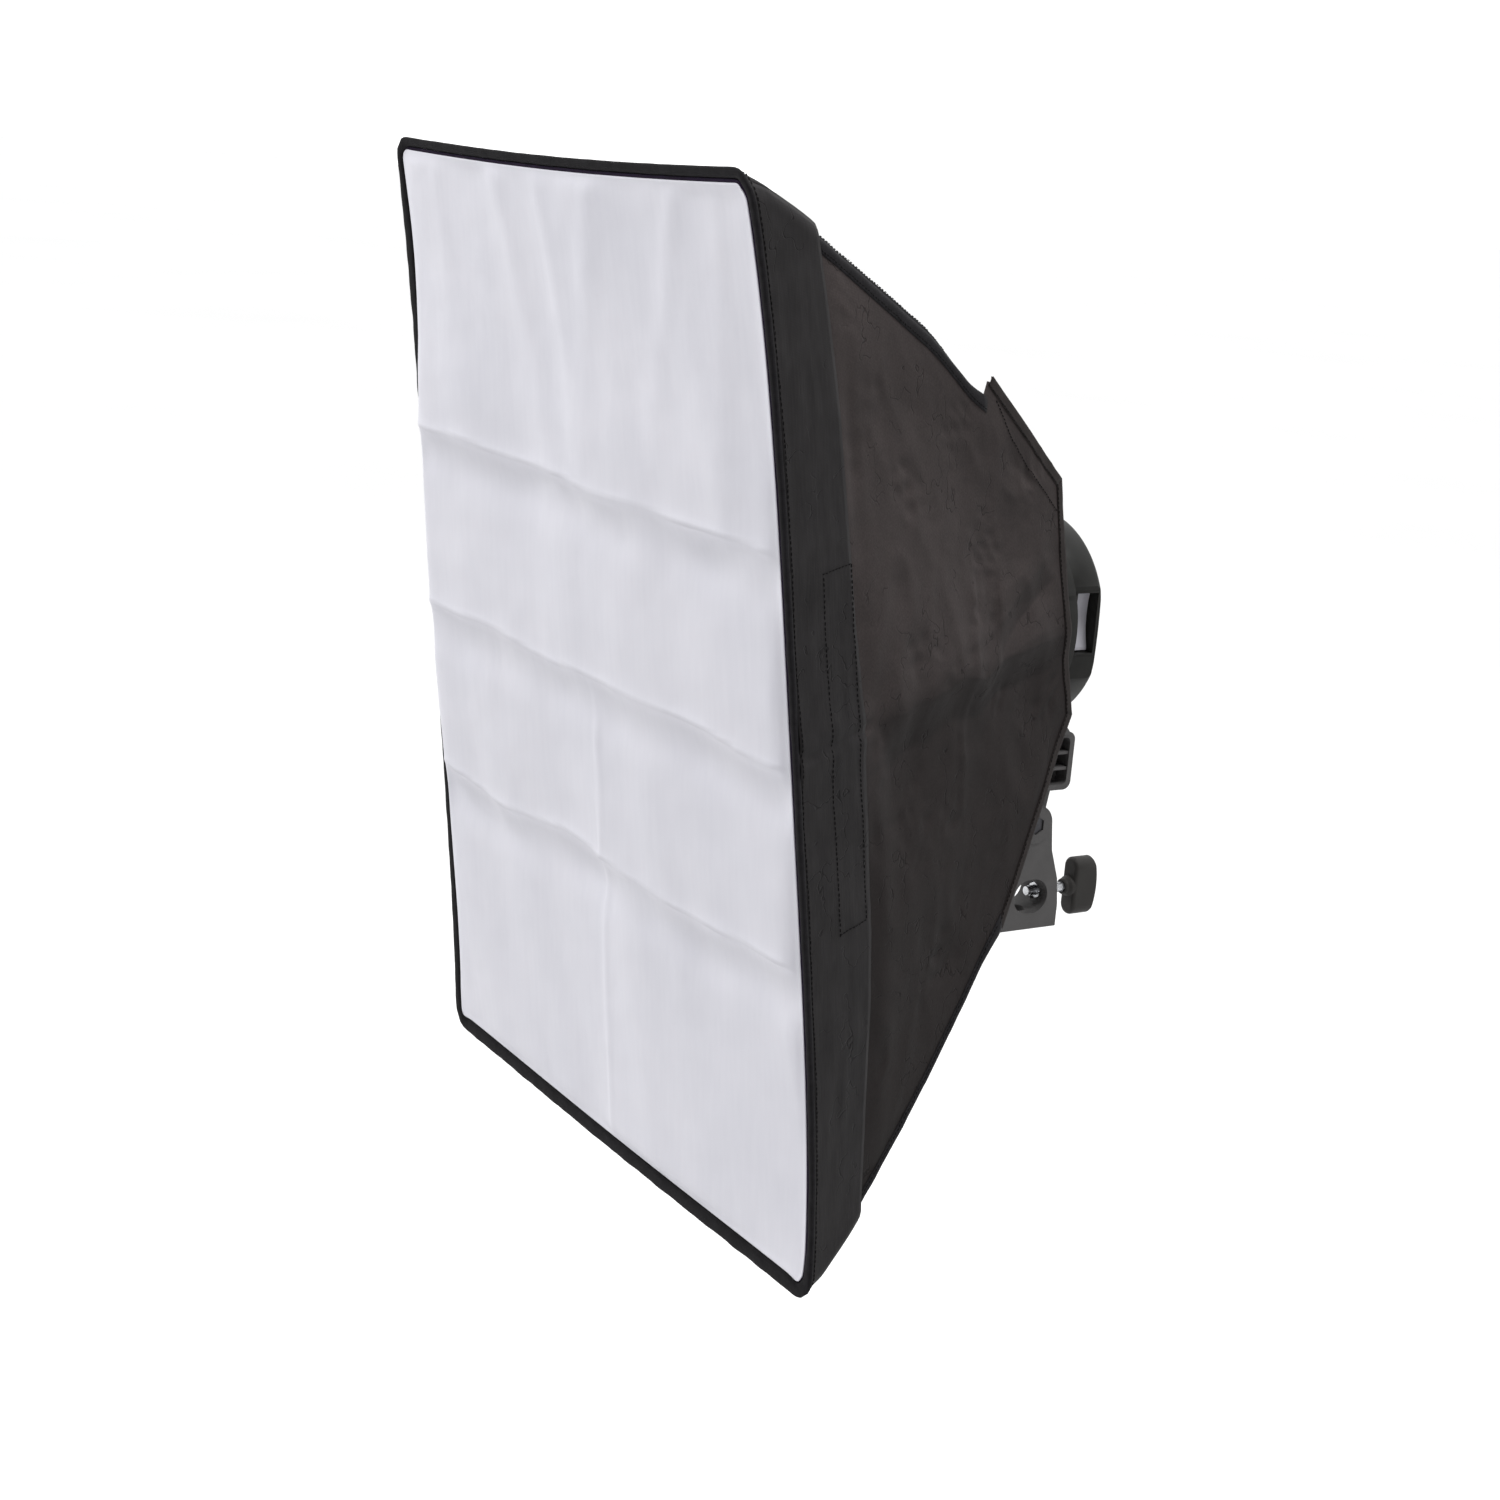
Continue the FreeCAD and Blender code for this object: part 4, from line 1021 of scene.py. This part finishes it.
# ---- hardware finishes
def finish_hardware():
    """Each packed hard part gets the finish of its material slot."""
    plastic, metal = plastic_material, metal_material
    finishes = {
        "zinc_steel": metal("zinc_steel", (0.62, 0.63, 0.65), 0.28, (1.0, 0.15, 1.0)),
        "black_steel": metal("black_steel", (0.06, 0.06, 0.065), 0.42),
        "head_plastic": plastic("head_gloss", (0.0095, 0.0095, 0.0088), 0.45, 0.0009, 0.00006,
                                shine=0.12),
        "arm_plastic": plastic("arm_nylon", (0.049, 0.0472, 0.0472), 0.62, 0.0007, 0.00018, wear=0.12),
        "knob_plastic": plastic("knob_nylon", (0.0215, 0.0203, 0.0192), 0.6, 0.0008, 0.00015,
                                wear=0.12, shine=0.15),
        "rocker_plastic": plastic("rocker_grey", (0.31, 0.305, 0.335), 0.35, 0.001, 0.00004, wear=0.08),
        "holder_ceramic": plastic("white_ceramic", (0.70, 0.70, 0.67), 0.22, 0.003, 0.00008, 0.4, 0.05),
        "lamp_white": plastic("lamp_white", (0.74, 0.74, 0.72), 0.25, 0.004, 0.00005, 0.5, 0.04),
        "terminal": plastic("terminal_nylon", (0.55, 0.53, 0.47), 0.5, 0.002, 0.0001, wear=0.08),
        "rod_steel": plastic("rod_black", (0.012, 0.012, 0.013), 0.35, 0.0012, 0.00005, coat=0.3),
        "rod_cap": plastic("rod_cap_rubber", (0.014, 0.014, 0.014), 0.7, 0.0008, 0.0002)}
    for part in frame["record"]["subparts"]:
        material = finishes.get(part["material_slot"])
        if material:
            node = frame["nodes"][part["node"]]
            node.data.materials.clear()
            node.data.materials.append(material)


def bend_rods():
    """The rods carry the front's twist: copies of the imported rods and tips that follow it."""
    for across in SIDES:
        for up in ("top", "bottom"):
            u, v = (1 if across == "right" else -1), (1 if up == "top" else -1)
            shift = BACK * twist(CORNER_BACK, u, v) + UP * twist(CORNER_RISE, u, v)
            for kind, slot in (("rod_", "rod_steel"), ("rod_tip_", "rod_cap")):
                node = frame["nodes"]["%s%s_%s" % (kind, up, across)]
                mesh = node.data.copy()
                place = node.matrix_world
                turn_back = place.to_3x3().inverted()
                for vertex in mesh.vertices:
                    depth = (place @ vertex.co - ORIGIN).dot(BACK)
                    vertex.co += turn_back @ (shift * twist_fade(depth))
                copy = new_object("bent_" + node.name, mesh)
                copy.matrix_world = place.copy()
                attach(copy, "head")
                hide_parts(node.name)


# Radius of the moulded edges, and the parts that have it.
SOFTENED = {0.0014: "stand_bracket tilt_arm", 0.0012: "clamp_knob tilt_knob", 0.001: "rod_hub",
            0.0008: "rear_cover", 0.0006: "front_housing cord_gland terminal_block",
            0.0004: "switch_bezel_left switch_bezel_right switch_rocker_left switch_rocker_right"
                    " clamp_nut socket_plate"}


def soften(node, width):
    """Moulding radii on a hard part's edges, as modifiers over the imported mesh."""
    weld = node.modifiers.new("weld", "WELD")
    weld.merge_threshold = 0.000001
    flat = node.modifiers.new("flat_faces", "DECIMATE")
    flat.decimate_type = "DISSOLVE"
    flat.angle_limit = math.radians(0.5)
    bevel = node.modifiers.new("edges", "BEVEL")
    bevel.width = width
    bevel.segments = 3
    bevel.limit_method = "ANGLE"
    bevel.angle_limit = math.radians(30)
    bevel.harden_normals = True


# ---- studio
CAMERA_AT = Vector((1.36703, -1.13195, 0.56892))
CAMERA_AZIMUTH = math.radians(57.48)
CAMERA_ELEVATION = math.radians(14.14)
CAMERA_ROLL = math.radians(4.50)
CAMERA_LENS = 55.44
FLOOR_BELOW = 0.70              # the object hangs this far above the floor
FLOOR_SIZE = 120.0


def make_camera():
    """The photo's view: azimuth and elevation of the camera, then its roll."""
    data = bpy.data.cameras.new("camera")
    data.lens = CAMERA_LENS
    data.sensor_width = 36.0
    data.clip_start = 0.01
    camera = new_object("camera", data)
    camera.matrix_world = (
        Matrix.Translation(CAMERA_AT) @ Matrix.Rotation(CAMERA_AZIMUTH, 4, "Z")
        @ Matrix.Rotation(math.pi / 2 - CAMERA_ELEVATION, 4, "X") @ Matrix.Rotation(CAMERA_ROLL, 4, "Z"))
    bpy.context.scene.camera = camera


def make_light(name, spot, aim, size, power):
    data = bpy.data.lights.new(name, "AREA")
    data.shape = "RECTANGLE"
    data.size, data.size_y = size
    data.energy = power
    light = new_object(name, data)
    light.location = spot
    light.rotation_euler = (Vector(aim) - Vector(spot)).to_track_quat("-Z", "Y").to_euler()


def make_studio():
    """White floor, a bright wall behind the object and two lamps."""
    floor_z = cad_box[0][2] - FLOOR_BELOW
    corners = [(x * FLOOR_SIZE, y * FLOOR_SIZE, floor_z) for x, y in ((-1, -1), (1, -1), (1, 1), (-1, 1))]
    mesh = bpy.data.meshes.new("floor")
    mesh.from_pydata(corners, [], [(0, 1, 2, 3)])
    floor = new_object("floor", mesh)
    material, tree, shader, vector = start_material("floor_pale", 0.9)
    set_inputs(tree, shader, {"Base Color": grey_ramp(tree, noise_node(tree, vector, 2.0), 0.90, 0.92)})
    mesh.materials.append(material)
    world = bpy.data.worlds.new("studio")
    bpy.context.scene.world = world
    world.use_nodes = True
    tree = world.node_tree
    # A bright wall behind the object; the room in front of it is darker.
    toward = {0: add_node(tree, "TexCoord").outputs["Generated"], 1: (-0.62, 0.78, 0.0)}
    facing = add_node(tree, "VectorMath", toward, operation="DOT_PRODUCT").outputs["Value"]
    span = maths(tree, "ADD", maths(tree, "MULTIPLY", facing, 0.5), 0.5)
    set_inputs(tree, tree.nodes["Background"], {"Color": grey_ramp(tree, span, 0.50, 1.5, 0.25, 0.62)})
    make_light("key", (0.95, 0.35, 2.5), (0.2, -0.1, 0.2), (0.6, 0.6), 44)
    make_light("front", (-1.7, -1.5, 2.2), (0, -0.35, 0.2), (0.7, 0.7), 42)
    bpy.context.scene.view_settings.view_transform = "Standard"


make_camera()
make_studio()
for wall in WALLS:
    make_band(wall)
    make_panel(wall)
make_seams()
make_binding()
make_diffuser()
make_skirt()
make_tapes()
finish_hardware()
bend_rods()
for width, names in SOFTENED.items():
    for name in names.split():
        soften(frame["nodes"][name], width)
